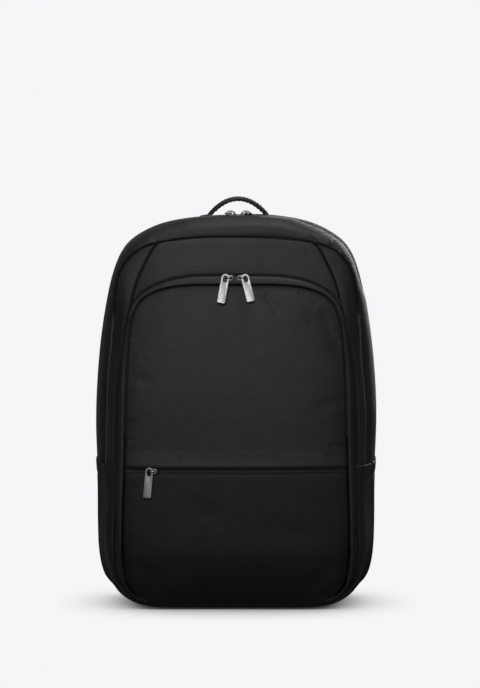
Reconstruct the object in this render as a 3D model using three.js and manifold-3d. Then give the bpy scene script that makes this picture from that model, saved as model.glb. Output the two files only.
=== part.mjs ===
// Laptop backpack, as a scene graph of named meshes in millimetres: +Z up, front at -Y,
// the origin in the middle of the flat base. All of its soft pieces are hollow shells or sheets
// that follow three closed rails: the body's widest outline, the main seam in front of it,
// and the edge of the front face.
import * as THREE from "three";
import { mergeVertices } from "three/addons/utils/BufferGeometryUtils.js";
import Module from "manifold-3d";

const wasm = await Module();
wasm.setup();

// Main sizes
const bodyWidth = 320;
const bodyHeight = 440;
const rearDepth = 62; // from the origin back to the rear wall
const seamDepth = 40; // from the origin forward to the main seam, at the base
const faceDepth = 71; // from the origin forward to the edge of the face
const faceCrown = 15; // how far the face swells past its edge
const rearEdgeRadius = 18; // between the rear gusset and the rear wall
const wall = 2; // padded nylon
const gap = 0.4; // between neighbouring pieces

// Zips
const mainZipFront = 8; // from the origin back to the main zip's front edge
const mainZipWidth = 12;
const mainZipEnd = 0.24; // height of its two ends, as a share of the body's height
const zipEndGap = 1; // from there down to the plain gusset
const tapeThickness = 1.2;
const tapeInset = 0.6; // the tape lies this far under the cloth beside it
const toothRise = 0.7;
const frontZipWidth = 11;
const pocketZipHeight = 159; // middle of the straight zip across the face
const pocketZipSlot = 6;
const pocketZipLap = 3; // of its tape behind the panels
const flapWidth = 10; // over the arched zip, at the top of the arch
const flapRise = 1.2;
const doorLip = 1.5; // how far the door's lower edge stands over the straight zip
const doorLipReach = 20;
const flapFoot = 1; // from the face's lower edge up to the flap's two ends
const yokeTip = 2.4; // room between the flap and the face's edge where the yoke ends

// Sliders and pullers
const sliderLength = 12;
const sliderWidth = 8.6;
const sliderPlate = 1.2;
const bridgeLength = 9.6;
const bridgeHeight = 4.1;
const bridgeWire = 1.6;
const bridgeWidth = 2.4;
const sliderLift = 0.4; // under the plate
const pullerWidth = 8.8;
const pullerLength = 34.5;
const pullerThickness = 1.4;
const pullerEye = 5; // width of the eye
const pullerEyeLength = 8;
const pullerLift = 0.55; // from the slider's plate to the puller
const pullerShift = 0.3; // from the middle of the bridge's leg to the middle of the eye
const pullerSwayDeg = 6; // how far the front pullers hang outwards
const topSliderSpan = 14.8; // between the two sliders on the top zip
const topSliderMiddle = 2.6;
const frontSliderSpan = 14.6;
const frontSliderMiddle = -0.6;
const frontSliderOverDoor = 6.5; // above the door's top edge
const pocketSliderX = -92;
const pocketSliderDrop = 1.5; // its middle, below the zip's

// Side pockets
const sidePocketTop = 163;
const sidePocketFoot = 22;
const sidePocketBack = 43; // from the origin back to its sewn edge
const sidePocketWall = 1.8;
const sidePocketSlack = 1.6; // how far the hem stands off, past the gap

// Back, straps and handle
const backPadThickness = 12;
const backPadInset = 12;
const strapWidth = 62;
const strapThickness = 10;
const strapStandoff = 36;
const webbingWidth = 25;
const webbingThickness = 1.6;
const lockWidth = 33;
const lockLength = 30;
const lockThickness = 4;
const lockMargin = 0.5; // beside the webbing, in each slot
const lockBar = 4.6;
const wingHeight = 92; // middle of its sewn edge
const wingSpan = 44;
const wingInset = 29; // its tip, in from the side
const wingLift = 4; // and off the back pad
const wingRise = 20;
const wingHem = 3; // how much wider its tip is than the webbing
const tailLength = 55; // the loose end below each buckle
const tailStandoff = 2; // how far it hangs off at most
const handleSpan = 74;
const handleMiddle = 2.5; // X of its middle
const handleRise = 22;
const handleWidth = 20;
const handleThickness = 5;
const handleBack = 46; // from the origin back to the handle's middle

const half = bodyWidth / 2;
const mainZipRear = mainZipFront + mainZipWidth;
const backFace = rearDepth + gap + backPadThickness;

// One row for each station, from the middle of the base up to the middle of the top. Each entry is
// X, Z and depth, as shares of half the width, of the height, and of seamDepth or faceDepth.
const stations = [
  { body: [0, 0], seam: [0, 0, 1], edge: [0, 0.009, 0.82] },
  { body: [0.281, 0], seam: [0.281, 0, 1], edge: [0.281, 0.009, 0.82] },
  { body: [0.488, 0.001], seam: [0.481, 0.001, 1], edge: [0.481, 0.01, 0.82] },
  { body: [0.65, 0.007], seam: [0.631, 0.007, 1], edge: [0.619, 0.016, 0.83] },
  { body: [0.763, 0.022], seam: [0.738, 0.021, 1], edge: [0.713, 0.03, 0.86] },
  { body: [0.863, 0.048], seam: [0.825, 0.046, 1], edge: [0.781, 0.059, 0.9] },
  { body: [0.931, 0.086], seam: [0.881, 0.084, 1], edge: [0.832, 0.1, 0.94] },
  { body: [0.964, 0.141], seam: [0.906, 0.141, 1], edge: [0.845, 0.155, 0.985] },
  { body: [0.976, 0.213], seam: [0.912, 0.213, 1], edge: [0.843, 0.22, 1] },
  { body: [0.981, 0.318], seam: [0.906, 0.318, 1], edge: [0.829, 0.318, 0.99] },
  { body: [0.997, 0.455], seam: [0.905, 0.455, 0.975], edge: [0.815, 0.455, 0.945] },
  { body: [0.993, 0.55], seam: [0.893, 0.55, 0.95], edge: [0.81, 0.55, 0.895] },
  { body: [0.967, 0.67], seam: [0.874, 0.664, 0.9], edge: [0.791, 0.655, 0.8] },
  { body: [0.928, 0.768], seam: [0.859, 0.761, 0.85], edge: [0.747, 0.755, 0.7] },
  { body: [0.878, 0.85], seam: [0.828, 0.845, 0.79], edge: [0.691, 0.827, 0.605] },
  { body: [0.813, 0.909], seam: [0.763, 0.891, 0.75], edge: [0.622, 0.884, 0.535] },
  { body: [0.713, 0.948], seam: [0.669, 0.918, 0.725], edge: [0.556, 0.923, 0.475] },
  { body: [0.525, 0.981], seam: [0.5, 0.935, 0.712], edge: [0.45, 0.936, 0.452] },
  { body: [0.275, 0.9975], seam: [0.263, 0.949, 0.7], edge: [0.25, 0.9465, 0.444] },
  { body: [0, 1], seam: [0, 0.952, 0.7], edge: [0, 0.95, 0.438] },
];

// The door's edge, from its lower corner up to the middle of the arch, in the same shares.
// flap is the flap's width there, as a share of flapWidth.
const doorEdge = [
  { x: 0.61, z: 0.021, flap: 0.15 },
  { x: 0.708, z: 0.041, flap: 0.45 },
  { x: 0.768, z: 0.075, flap: 0.6 },
  { x: 0.789, z: 0.123, flap: 0.7 },
  { x: 0.793, z: 0.193, flap: 0.7 },
  { x: 0.788, z: 0.273, flap: 0.7 },
  { x: 0.778, z: 0.368, flap: 0.7 },
  { x: 0.774, z: 0.468, flap: 0.7 },
  { x: 0.771, z: 0.559, flap: 0.7 },
  { x: 0.76, z: 0.657, flap: 0.6 },
  { x: 0.743, z: 0.72, flap: 0.5 },
  { x: 0.718, z: 0.756, flap: 0.45 },
  { x: 0.675, z: 0.786, flap: 0.45 },
  { x: 0.585, z: 0.809, flap: 0.55 },
  { x: 0.46, z: 0.823, flap: 0.75 },
  { x: 0.3, z: 0.829, flap: 0.95 },
  { x: 0.15, z: 0.8295, flap: 1 },
  { x: 0, z: 0.8295, flap: 1 },
];

// The right strap's middle line, from its sewn top down to the buckle. off is a share of the
// standoff from the back pad, and wide of the strap's width.
const strapLine = [
  { x: 0.2, z: 0.955, off: 0.16, wide: 0.85 },
  { x: 0.21, z: 0.93, off: 0.19, wide: 0.9 },
  { x: 0.235, z: 0.885, off: 0.5, wide: 0.96 },
  { x: 0.28, z: 0.81, off: 0.87, wide: 1 },
  { x: 0.335, z: 0.72, off: 1, wide: 1 },
  { x: 0.395, z: 0.63, off: 0.98, wide: 0.97 },
  { x: 0.46, z: 0.54, off: 0.85, wide: 0.9 },
  { x: 0.53, z: 0.45, off: 0.66, wide: 0.8 },
  { x: 0.552, z: 0.425, off: 0.6, wide: 0.66 },
];

const fabric = { black: 0x1b1b1c, deep: 0x121213, trim: 0x161617, metal: 0xc9c9cb };

// Curves

const mix = THREE.MathUtils.lerp;
const clamp01 = (value) => THREE.MathUtils.clamp(value, 0, 1);
const lastStation = stations.length - 1;

// A closed rail round the bag: t is 0 in the middle of the base, 0.5 in the middle of the top,
// and under 0.5 on the +X side.
function rail(name, fullDepth) {
  const right = stations.map(({ [name]: [x, z, depth = 0] }) => {
    return new THREE.Vector3(x * half, -depth * fullDepth, z * bodyHeight);
  });
  const left = right.slice(1, -1).reverse().map((p) => new THREE.Vector3(-p.x, p.y, p.z));
  return new THREE.CatmullRomCurve3([...right, ...left], true, "catmullrom", 0.5);
}

const bodyRail = rail("body", 0);
const seamRail = rail("seam", seamDepth);
const edgeRail = rail("edge", faceDepth);

function onRail(curve, t) {
  const p = curve.getPoint(((t % 1) + 1) % 1);
  p.z = Math.max(p.z, 0);
  return p;
}

// The value between low and high at which before(value) stops being true.
function turning(low, high, before) {
  for (let i = 0; i < 40; i++) {
    const middle = (low + high) / 2;
    if (before(middle)) low = middle;
    else high = middle;
  }
  return (low + high) / 2;
}

// The t at which the +X side of a rail reaches a height.
const railAt = (curve, height) => turning(0, 0.5, (t) => onRail(curve, t).z < height);

// The body's height over a distance from the middle plane.
function topAt(x) {
  const t = turning(0.45, 0.5, (value) => onRail(bodyRail, value).x > Math.abs(x));
  return onRail(bodyRail, t).z;
}

// The body's outline, moved inwards by inset and back to a depth.
function bodyPoint(t, inset, depth) {
  const step = 0.002;
  const along = onRail(bodyRail, t + step).sub(onRail(bodyRail, t - step)).normalize();
  const p = onRail(bodyRail, t);
  return new THREE.Vector3(p.x - along.z * inset, depth, Math.max(p.z + along.x * inset, 0));
}

// A quarter of an ellipse from one point to another: it leaves along Y and arrives facing forward.
function rounded(from, to, share) {
  const angle = (share * Math.PI) / 2;
  const across = 1 - Math.cos(angle);
  const forward = Math.sin(angle);
  return new THREE.Vector3(
    mix(from.x, to.x, across),
    mix(from.y, to.y, forward),
    mix(from.z, to.z, across),
  );
}

// The face: its edge's half width and depth at a height, and the swelling between the edges.

function edgeAt(height) {
  const p = onRail(edgeRail, railAt(edgeRail, height));
  return { halfWidth: Math.max(p.x, 1), depth: p.y };
}

const faceBottom = onRail(edgeRail, 0).z;
const faceTop = onRail(edgeRail, 0.5).z;
const crownFoot = 0.16 * bodyHeight; // the swelling grows to full over these heights
const crownHead = 0.34 * bodyHeight;
const crownPower = 2.6;

function faceY(x, height) {
  const z = THREE.MathUtils.clamp(height, faceBottom, faceTop);
  const edge = edgeAt(z);
  const foot = 1 - (1 - clamp01((z - faceBottom) / crownFoot)) ** 2;
  const head = 1 - (1 - clamp01((faceTop - z) / crownHead)) ** 2;
  const side = 1 - Math.min(Math.abs(x) / edge.halfWidth, 1) ** crownPower;
  return edge.depth - faceCrown * foot * head * side;
}

// Solids

// A closed skin over a grid of outer points and the grid of inner points behind it.
// loop: each row closes on itself. cap: the last row closes to a point in its middle.
function sheet(outer, inner, { loop = false, cap = null } = {}) {
  const position = [];
  const index = [];
  const rows = outer.length;
  const columns = outer[0].length;
  const put = (p) => position.push(p.x, p.y, p.z) / 3 - 1;
  const outerIds = outer.map((row) => row.map(put));
  const innerIds = inner.map((row) => row.map(put));
  const quad = (a, b, c, d) => index.push(a, b, c, a, c, d);
  const steps = loop ? columns : columns - 1;
  for (let i = 0; i < rows - 1; i++) {
    for (let j = 0; j < steps; j++) {
      const k = (j + 1) % columns;
      quad(outerIds[i][j], outerIds[i][k], outerIds[i + 1][k], outerIds[i + 1][j]);
      quad(innerIds[i][j], innerIds[i + 1][j], innerIds[i + 1][k], innerIds[i][k]);
    }
    if (!loop) {
      const j = columns - 1;
      quad(outerIds[i][0], outerIds[i + 1][0], innerIds[i + 1][0], innerIds[i][0]);
      quad(outerIds[i][j], innerIds[i][j], innerIds[i + 1][j], outerIds[i + 1][j]);
    }
  }
  const centres = cap ? [put(cap.outer), put(cap.inner)] : null;
  for (let j = 0; j < steps; j++) {
    const k = (j + 1) % columns;
    const end = rows - 1;
    quad(outerIds[0][j], innerIds[0][j], innerIds[0][k], outerIds[0][k]);
    if (cap) {
      index.push(outerIds[end][j], outerIds[end][k], centres[0]);
      index.push(innerIds[end][k], innerIds[end][j], centres[1]);
    } else {
      quad(outerIds[end][j], outerIds[end][k], innerIds[end][k], innerIds[end][j]);
    }
  }
  return facingOut(position, index);
}

// A closed skin round rings of points, flat at both ends.
function tube(rings) {
  const position = [];
  const index = [];
  const put = (p) => position.push(p.x, p.y, p.z) / 3 - 1;
  const ids = rings.map((ring) => ring.map(put));
  const count = rings[0].length;
  for (let i = 0; i < rings.length - 1; i++) {
    for (let j = 0; j < count; j++) {
      const k = (j + 1) % count;
      index.push(ids[i][j], ids[i][k], ids[i + 1][k], ids[i][j], ids[i + 1][k], ids[i + 1][j]);
    }
  }
  for (let j = 1; j < count - 1; j++) {
    const end = rings.length - 1;
    index.push(ids[0][0], ids[0][j + 1], ids[0][j]);
    index.push(ids[end][0], ids[end][j], ids[end][j + 1]);
  }
  return facingOut(position, index);
}

function facingOut(position, index) {
  const at = (i) => new THREE.Vector3().fromArray(position, 3 * i);
  let volume = 0;
  for (let i = 0; i < index.length; i += 3) {
    volume += at(index[i]).dot(at(index[i + 1]).cross(at(index[i + 2])));
  }
  if (volume < 0) index.reverse();
  const geometry = new THREE.BufferGeometry();
  geometry.setAttribute("position", new THREE.Float32BufferAttribute(position, 3));
  geometry.setIndex(index);
  geometry.computeVertexNormals();
  return geometry;
}

// The same piece on the other side of the bag.
function mirrored(geometry) {
  const other = geometry.clone();
  other.scale(-1, 1, 1);
  other.index.array.reverse();
  other.computeVertexNormals();
  return other;
}

// A grid moved along its own normals, towards the inside of the bag, or outwards if distance
// is negative. distance may be a function of the row and column shares.
function offset(grid, distance, loop = false) {
  const middle = new THREE.Vector3(0, 0, bodyHeight / 2);
  const rows = grid.length;
  const columns = grid[0].length;
  const near = (value, count, wraps) =>
    wraps ? (value + count) % count : THREE.MathUtils.clamp(value, 0, count - 1);
  return grid.map((row, i) =>
    row.map((p, j) => {
      const down = grid[near(i + 1, rows, false)][j].clone().sub(grid[near(i - 1, rows, false)][j]);
      const across = row[near(j + 1, columns, loop)].clone().sub(row[near(j - 1, columns, loop)]);
      const normal = down.cross(across).normalize();
      if (normal.dot(middle.clone().sub(p)) < 0) normal.negate();
      const far = typeof distance === "function" ? distance(i / (rows - 1), j / (columns - 1)) : distance;
      return p.clone().addScaledVector(normal, far);
    }),
  );
}

const shares = (count) => Array.from({ length: count + 1 }, (_, i) => i / count);

function material(color, roughness, metalness = 0) {
  return new THREE.MeshStandardMaterial({ color, roughness, metalness });
}

const nylon = material(fabric.black, 0.6);
const lowerNylon = material(fabric.deep, 0.7);
const trim = material(fabric.trim, 0.75);
const leatherette = material(fabric.black, 0.5);
const metal = material(fabric.metal, 0.25, 1);
const plastic = material(fabric.trim, 0.4);

const bag = new THREE.Group();

function add(name, geometry, finish, parent = bag) {
  const mesh = new THREE.Mesh(geometry, finish);
  mesh.name = name;
  parent.add(mesh);
  return mesh;
}

// Solids joined by manifold-3d

function solid(geometry) {
  const plain = geometry.index ? geometry.toNonIndexed() : geometry.clone();
  plain.deleteAttribute("normal");
  plain.deleteAttribute("uv");
  const merged = mergeVertices(plain, 1e-4);
  return new wasm.Manifold(
    new wasm.Mesh({
      numProp: 3,
      vertProperties: merged.attributes.position.array,
      triVerts: new Uint32Array(merged.index.array),
    }),
  );
}

function geometryOf(joined) {
  const mesh = joined.getMesh();
  const geometry = new THREE.BufferGeometry();
  geometry.setAttribute("position", new THREE.BufferAttribute(mesh.vertProperties, 3));
  geometry.setIndex(new THREE.BufferAttribute(mesh.triVerts, 1));
  geometry.computeVertexNormals();
  return geometry;
}

// Body

const ringShares = shares(56).slice(0, -1);

// The rear gusset runs straight back from the zip, then turns in a quarter circle to the rear wall.
function rearShell() {
  const rim = mainZipRear + gap;
  const bend = rearDepth - rearEdgeRadius;
  const profile = [
    { depth: rim, inset: 0 },
    { depth: mix(rim, bend, 0.5), inset: 0 },
    ...shares(3).map((s) => ({
      depth: bend + rearEdgeRadius * Math.sin((s * Math.PI) / 2),
      inset: rearEdgeRadius * (1 - Math.cos((s * Math.PI) / 2)),
    })),
  ];
  const outer = profile.map((p) => ringShares.map((t) => bodyPoint(t, p.inset, p.depth)));
  const middle = new THREE.Vector3(0, rearDepth, bodyHeight / 2);
  const cap = { outer: middle, inner: middle.clone().setY(rearDepth - wall) };
  return sheet(outer, offset(outer, wall, true), { loop: true, cap });
}

function frontShell() {
  const rim = mainZipFront - gap;
  const outer = shares(5).map((s) =>
    ringShares.map((t) => rounded(bodyPoint(t, 0, rim), onRail(seamRail, t), s)),
  );
  const depth = onRail(seamRail, 0.5).y;
  const middle = new THREE.Vector3(0, depth, bodyHeight / 2);
  const cap = { outer: middle, inner: middle.clone().setY(depth + wall) };
  return sheet(outer, offset(outer, wall, true), { loop: true, cap });
}

// The strip between the two shells: the zip round the top and sides, and a plain gusset below it.
function middleBand(from, to, steps, inset, thickness, ridge) {
  const edge = ridge ? 1 : 0;
  const profile = [
    { share: 0, rise: 0 },
    { share: 0.32, rise: 0 },
    { share: 0.5, rise: edge * toothRise },
    { share: 0.68, rise: 0 },
    { share: 1, rise: 0 },
  ];
  const kept = ridge ? profile : [profile[0], profile[4]];
  const ring = (depth, rise) =>
    shares(steps).map((s) => bodyPoint(mix(from, to, s), inset - rise, depth));
  const depthAt = (p) => mix(mainZipFront, mainZipRear, p.share);
  const outer = kept.map((p) => ring(depthAt(p), p.rise));
  const inner = kept.map((p) => ring(depthAt(p), -thickness));
  return sheet(outer, inner);
}

const zipEndHeight = mainZipEnd * bodyHeight;
const zipStart = railAt(bodyRail, zipEndHeight);

function mainZip() {
  return middleBand(zipStart, 1 - zipStart, 44, tapeInset, tapeThickness, true);
}

function baseGusset() {
  const end = railAt(bodyRail, zipEndHeight - zipEndGap);
  return middleBand(-end, end, 24, 0, wall, false);
}

// Front compartment

// The gusset ends where the face's edge comes close to the main seam, a share of the way up the rail.
const gussetTop = (lastStation - 3.5) / (2 * lastStation);

// From the main seam forward to just behind the edge of the face.
function sideSurface(t, share) {
  const seam = onRail(seamRail, t);
  const edge = onRail(edgeRail, t);
  const stepIn = 0.06; // where the cloth leaves the main seam, as a share of the way to the face
  const flatness = 0.45; // 0 is a quarter of an ellipse, 1 is flat
  const start = seam.clone().lerp(edge, stepIn).setY(seam.y - gap);
  const end = edge.setY(Math.min(edge.y + wall + gap, start.y - gap));
  return rounded(start, end, share).lerp(start.clone().lerp(end, share), flatness);
}

function frontGusset() {
  const outer = shares(3).map((share) =>
    shares(44).map((s) => sideSurface(mix(-gussetTop, gussetTop, s), share)),
  );
  const inner = offset(outer, wall);
  for (const row of [0, 3]) inner[row].forEach((p, j) => p.setY(outer[row][j].y));
  return sheet(outer, inner);
}

// The door's edge as a curve in the plane of X and Z, from the middle of the arch down the +X side.
const doorCurve = new THREE.CatmullRomCurve3(
  [...doorEdge].reverse().map((r) => new THREE.Vector3(r.x * half, 0, r.z * bodyHeight)),
  false,
  "catmullrom",
  0.5,
);
const doorTop = doorEdge[doorEdge.length - 1].z * bodyHeight;

// A point beside the door's edge: s is 0 at the middle of the arch, 1 at the lower corner on +X,
// and negative on -X. beside is the distance outwards.
function besideDoor(s, beside) {
  const step = 0.004;
  const a = doorCurve.getPoint(clamp01(Math.abs(s) - step));
  const b = doorCurve.getPoint(clamp01(Math.abs(s) + step));
  const along = b.sub(a).normalize();
  const p = doorCurve.getPoint(Math.abs(s));
  const x = p.x - along.z * beside;
  const z = Math.max(p.z + along.x * beside, faceBottom + flapFoot);
  const limit = edgeAt(z).halfWidth - gap;
  return new THREE.Vector2(Math.sign(s || 1) * Math.min(x, limit), z);
}

function flapWidthAt(s) {
  const place = (1 - Math.abs(s)) * (doorEdge.length - 1);
  const low = Math.min(Math.floor(place), doorEdge.length - 2);
  return flapWidth * mix(doorEdge[low].flap, doorEdge[low + 1].flap, place - low);
}

function doorHalfWidth(height) {
  return doorCurve.getPoint(turning(0, 1, (s) => doorCurve.getPoint(s).z > height)).x;
}

// A sheet on the face, ruled between two curves of the same parameter. rise moves it forward and
// is a function of X and Z.
function facePanel(columns, rows, lower, upper, rise, thickness = wall) {
  const outer = rows.map((v) =>
    columns.map((u) => {
      const p = lower(u).lerp(upper(u), v);
      return new THREE.Vector3(p.x, faceY(p.x, p.y) - rise(p.x, p.y), p.y);
    }),
  );
  const inner = outer.map((row) => row.map((p) => p.clone().setY(p.y + thickness)));
  return sheet(outer, inner);
}

const fromMiddle = (count) => shares(count).map((s) => 2 * s - 1);

function zipFlap() {
  return facePanel(
    fromMiddle(52),
    [0, 0.5, 1],
    (s) => besideDoor(s, gap),
    (s) => besideDoor(s, flapWidthAt(s)),
    () => flapRise,
  );
}

// The yoke: from the flap up to the main seam, out to where the two come close on each side.
function yoke() {
  const aboveFlap = (s) => besideDoor(s, flapWidthAt(s) + 2 * gap);
  const room = (p) => edgeAt(p.y).halfWidth - p.x;
  const end = turning(0, 0.5, (s) => room(aboveFlap(s)) > yokeTip);
  const edgeEnd = railAt(edgeRail, aboveFlap(end).y + yokeTip * 0.7);
  const inset = gap * 1.5;
  const belowSeam = (u) => {
    const p = onRail(edgeRail, mix(0.5, edgeEnd, Math.abs(u)));
    return new THREE.Vector2(Math.sign(u || 1) * Math.max(p.x - inset * Math.abs(u), 0), p.z - inset);
  };
  const lower = (u) => aboveFlap(u * end);
  return facePanel(fromMiddle(24), [0, 0.33, 0.67, 1], lower, belowSeam, () => 0);
}

// A panel of the door's width. Its lowest edge is a function of the distance from the middle.
function doorPanel(lowEdge, highEdge, steps, rise) {
  const outer = steps.map((s) => {
    const level = mix(lowEdge(0), highEdge, s);
    const narrowest = Math.min(doorHalfWidth(level - 2 * gap), doorHalfWidth(level + gap));
    const reach = Math.max(narrowest - gap, 1);
    return fromMiddle(14).map((u) => {
      const z = mix(lowEdge(u * reach), highEdge, s);
      return new THREE.Vector3(u * reach, faceY(u * reach, z) - rise(z), z);
    });
  });
  const inner = outer.map((row) => row.map((p) => p.clone().setY(p.y + wall)));
  return sheet(outer, inner);
}

const slotTop = pocketZipHeight + pocketZipSlot / 2;
const slotBottom = pocketZipHeight - pocketZipSlot / 2;

function door() {
  const steps = [0, 0.1, 0.3, 0.5, 0.68, 0.8, 0.88, 0.935, 0.97, 0.99, 1];
  const lip = (z) => doorLip * (1 - clamp01((z - slotTop) / doorLipReach));
  return doorPanel(() => slotTop, doorTop - gap, steps, lip);
}

function lowerPanel() {
  const foot = (x) => {
    const t = turning(0, 0.2, (value) => onRail(edgeRail, value).x < Math.abs(x));
    return onRail(edgeRail, t).z + gap;
  };
  return doorPanel(foot, slotBottom, [0, 0.025, 0.06, 0.12, 0.22, 0.38, 0.6, 0.8, 1], () => 0);
}

// Zip tapes behind the face's panels

function frontZip() {
  const reach = 0.6; // the share of the door's edge that opens, from the middle of the arch
  const behind = wall + 2 * gap;
  const underFlap = (s) => Math.min(frontZipWidth / 2, flapWidthAt(s) - behind);
  return facePanel(
    fromMiddle(40).map((u) => u * reach),
    [0, 1],
    (s) => besideDoor(s, -frontZipWidth / 2),
    (s) => besideDoor(s, underFlap(s)),
    () => -behind,
    tapeThickness,
  );
}

function pocketZip() {
  const reach = doorHalfWidth(pocketZipHeight) - gap;
  const grid = [slotBottom - pocketZipLap, slotTop + pocketZipLap].map((z) =>
    fromMiddle(14).map((u) => new THREE.Vector3(u * reach, faceY(u * reach, z) + wall + gap, z)),
  );
  return sheet(grid, grid.map((row) => row.map((p) => p.clone().setY(p.y + tapeThickness))));
}

// Side pockets: a sheet stretched over the crease of the main seam, open at its hem

function sidePocketPoint(t, share) {
  const middle = 0.7; // where the sheet turns from the front gusset to the body's side
  const base = bodyPoint(t, 0, mainZipFront - gap);
  const edge = onRail(edgeRail, t);
  if (share < middle) return rounded(base, edge.setY(edge.y + wall + gap), 1 - share / middle);
  return bodyPoint(t, 0, mix(base.y, sidePocketBack, (share - middle) / (1 - middle)));
}

function sidePocket() {
  const low = railAt(bodyRail, sidePocketFoot);
  const high = railAt(bodyRail, sidePocketTop);
  const across = [0.03, 0.12, 0.22, 0.32, 0.42, 0.52, 0.61, 0.7, 0.85, 1];
  const grid = shares(7).map((v) =>
    across.map((share) => sidePocketPoint(mix(low, high, v ** 1.5), share)),
  );
  const standoff = (v) => 2 * gap + sidePocketSlack * v;
  const inner = offset(grid, (v) => -standoff(v));
  const outer = offset(grid, (v) => -standoff(v) - sidePocketWall);
  return sheet(outer, inner);
}

// Back pad

function backPad() {
  const loops = shares(40).slice(0, -1);
  const profile = [
    { depth: 0, inset: 0.25 },
    { depth: 0.35, inset: 0 },
    { depth: 0.75, inset: 0.125 },
    { depth: 1, inset: 0.67 },
  ];
  const start = rearDepth + gap;
  const thick = backPadThickness;
  const rings = profile.map((p) =>
    loops.map((t) => bodyPoint(t, backPadInset + p.inset * thick, start + p.depth * thick)),
  );
  return tube(rings);
}

// Ribbons: straps, webbing and the handle

// A ribbon along points. wide gives the direction of its width at a point, and size its width
// and thickness at a share of its length.
function ribbon(points, wide, size) {
  const rings = points.map((p, i) => {
    const before = points[Math.max(i - 1, 0)];
    const after = points[Math.min(i + 1, points.length - 1)];
    const along = after.clone().sub(before).normalize();
    const across = wide(along).normalize();
    const normal = across.clone().cross(along).normalize();
    const { width, thickness } = size(i / (points.length - 1));
    const edge = Math.min(thickness * 0.3, width * 0.1);
    const corners = [
      [width / 2 - edge, thickness / 2],
      [width / 2, thickness / 2 - edge],
      [width / 2, edge - thickness / 2],
      [width / 2 - edge, -thickness / 2],
      [edge - width / 2, -thickness / 2],
      [-width / 2, edge - thickness / 2],
      [-width / 2, thickness / 2 - edge],
      [edge - width / 2, thickness / 2],
    ];
    return corners.map(([a, b]) => p.clone().addScaledVector(across, a).addScaledVector(normal, b));
  });
  return tube(rings);
}

const backwards = new THREE.Vector3(0, 1, 0);
const flatOnBack = (along) => along.clone().cross(backwards);

const strapCurve = new THREE.CatmullRomCurve3(
  strapLine.map(
    (r) => new THREE.Vector3(r.x * half, backFace + r.off * strapStandoff, r.z * bodyHeight),
  ),
);

function widthAlong(share) {
  const place = share * (strapLine.length - 1);
  const low = Math.min(Math.floor(place), strapLine.length - 2);
  return strapWidth * mix(strapLine[low].wide, strapLine[low + 1].wide, place - low);
}

function strap() {
  const points = shares(20).map((s) => strapCurve.getPoint(s));
  const hem = { start: 0.94, thickness: 0.6 * strapThickness };
  return ribbon(points, flatOnBack, (s) => ({
    width: widthAlong(s),
    thickness: s > hem.start ? hem.thickness : strapThickness,
  }));
}

// The buckle under the strap lies in the strap's own plane there

const strapEnd = strapCurve.getPoint(1);
const lockAlong = strapCurve.getTangent(1);
const lockAcross = flatOnBack(lockAlong).normalize();
const lockOut = lockAcross.clone().cross(lockAlong);
const onLock = (down, out) =>
  strapEnd.clone().addScaledVector(lockAlong, gap + down).addScaledVector(lockOut, out);

function ladderLock() {
  const shape = new THREE.Shape();
  const w = lockWidth / 2;
  const l = lockLength / 2;
  const cut = lockBar;
  shape.moveTo(-w + cut, -l);
  shape.lineTo(w - cut, -l);
  shape.lineTo(w, -l + cut);
  shape.lineTo(w, l - cut);
  shape.lineTo(w - cut, l);
  shape.lineTo(-w + cut, l);
  shape.lineTo(-w, l - cut);
  shape.lineTo(-w, -l + cut);
  const plate = new THREE.ExtrudeGeometry(shape, { depth: lockThickness, bevelEnabled: false });
  plate.translate(0, 0, -lockThickness / 2);
  const slotHeight = (lockLength - 4 * lockBar) / 3;
  let lock = solid(plate);
  for (const step of [-1, 0, 1]) {
    const slot = new THREE.BoxGeometry(webbingWidth + 2 * lockMargin, slotHeight, 2 * lockThickness);
    slot.translate(0, step * (slotHeight + lockBar), 0);
    lock = lock.subtract(solid(slot));
  }
  const up = lockAlong.clone().negate();
  const place = new THREE.Matrix4().makeBasis(lockAcross, up, lockAcross.clone().cross(up));
  return geometryOf(lock).applyMatrix4(place.setPosition(onLock(l, 0)));
}

// A wing of cloth sewn into the rear side seam: it comes round the back pad's edge and holds
// the lower webbing, which runs up to the buckle's underside

const wingEdge = bodyPoint(railAt(bodyRail, wingHeight), 0, rearDepth).x;
const wingTip = new THREE.Vector3(wingEdge - wingInset, backFace + wingLift, wingHeight + wingRise);
const lockFace = (lockThickness + webbingThickness) / 2 + gap;
const webbingTop = onLock(lockLength * 0.55, -lockFace);
const webbingRun = webbingTop.distanceTo(wingTip);
const webbingStart = webbingTop.clone().sub(wingTip).normalize();

function wing() {
  const outside = wingEdge - backPadInset / 2; // clear of the back pad's edge
  const path = new THREE.CatmullRomCurve3([
    new THREE.Vector3(outside, rearDepth - wall / 2, wingHeight),
    new THREE.Vector3(outside - wall * 1.5, mix(rearDepth, backFace, 0.8), wingHeight + wingRise * 0.2),
    new THREE.Vector3(outside - wall * 5, backFace + wingLift, wingHeight + wingRise * 0.5),
    wingTip,
  ]);
  const upright = new THREE.Vector3(0, 0, -1);
  const slanted = flatOnBack(webbingStart).normalize();
  const rings = shares(8).map((s) => {
    const across = upright.clone().lerp(slanted, s ** 3).normalize();
    const normal = across.clone().cross(path.getTangent(s)).normalize();
    return flatRing(path.getPoint(s), across, normal, mix(wingSpan, webbingWidth + wingHem, s), wall);
  });
  return tube(rings);
}

function flatRing(middle, across, normal, width, thickness) {
  const corners = [
    [-1, -1],
    [1, -1],
    [1, 1],
    [-1, 1],
  ];
  return corners.map(([a, b]) =>
    middle
      .clone()
      .addScaledVector(across, (a * width) / 2)
      .addScaledVector(normal, (b * thickness) / 2),
  );
}

const webbingSize = () => ({ width: webbingWidth, thickness: webbingThickness });

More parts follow.
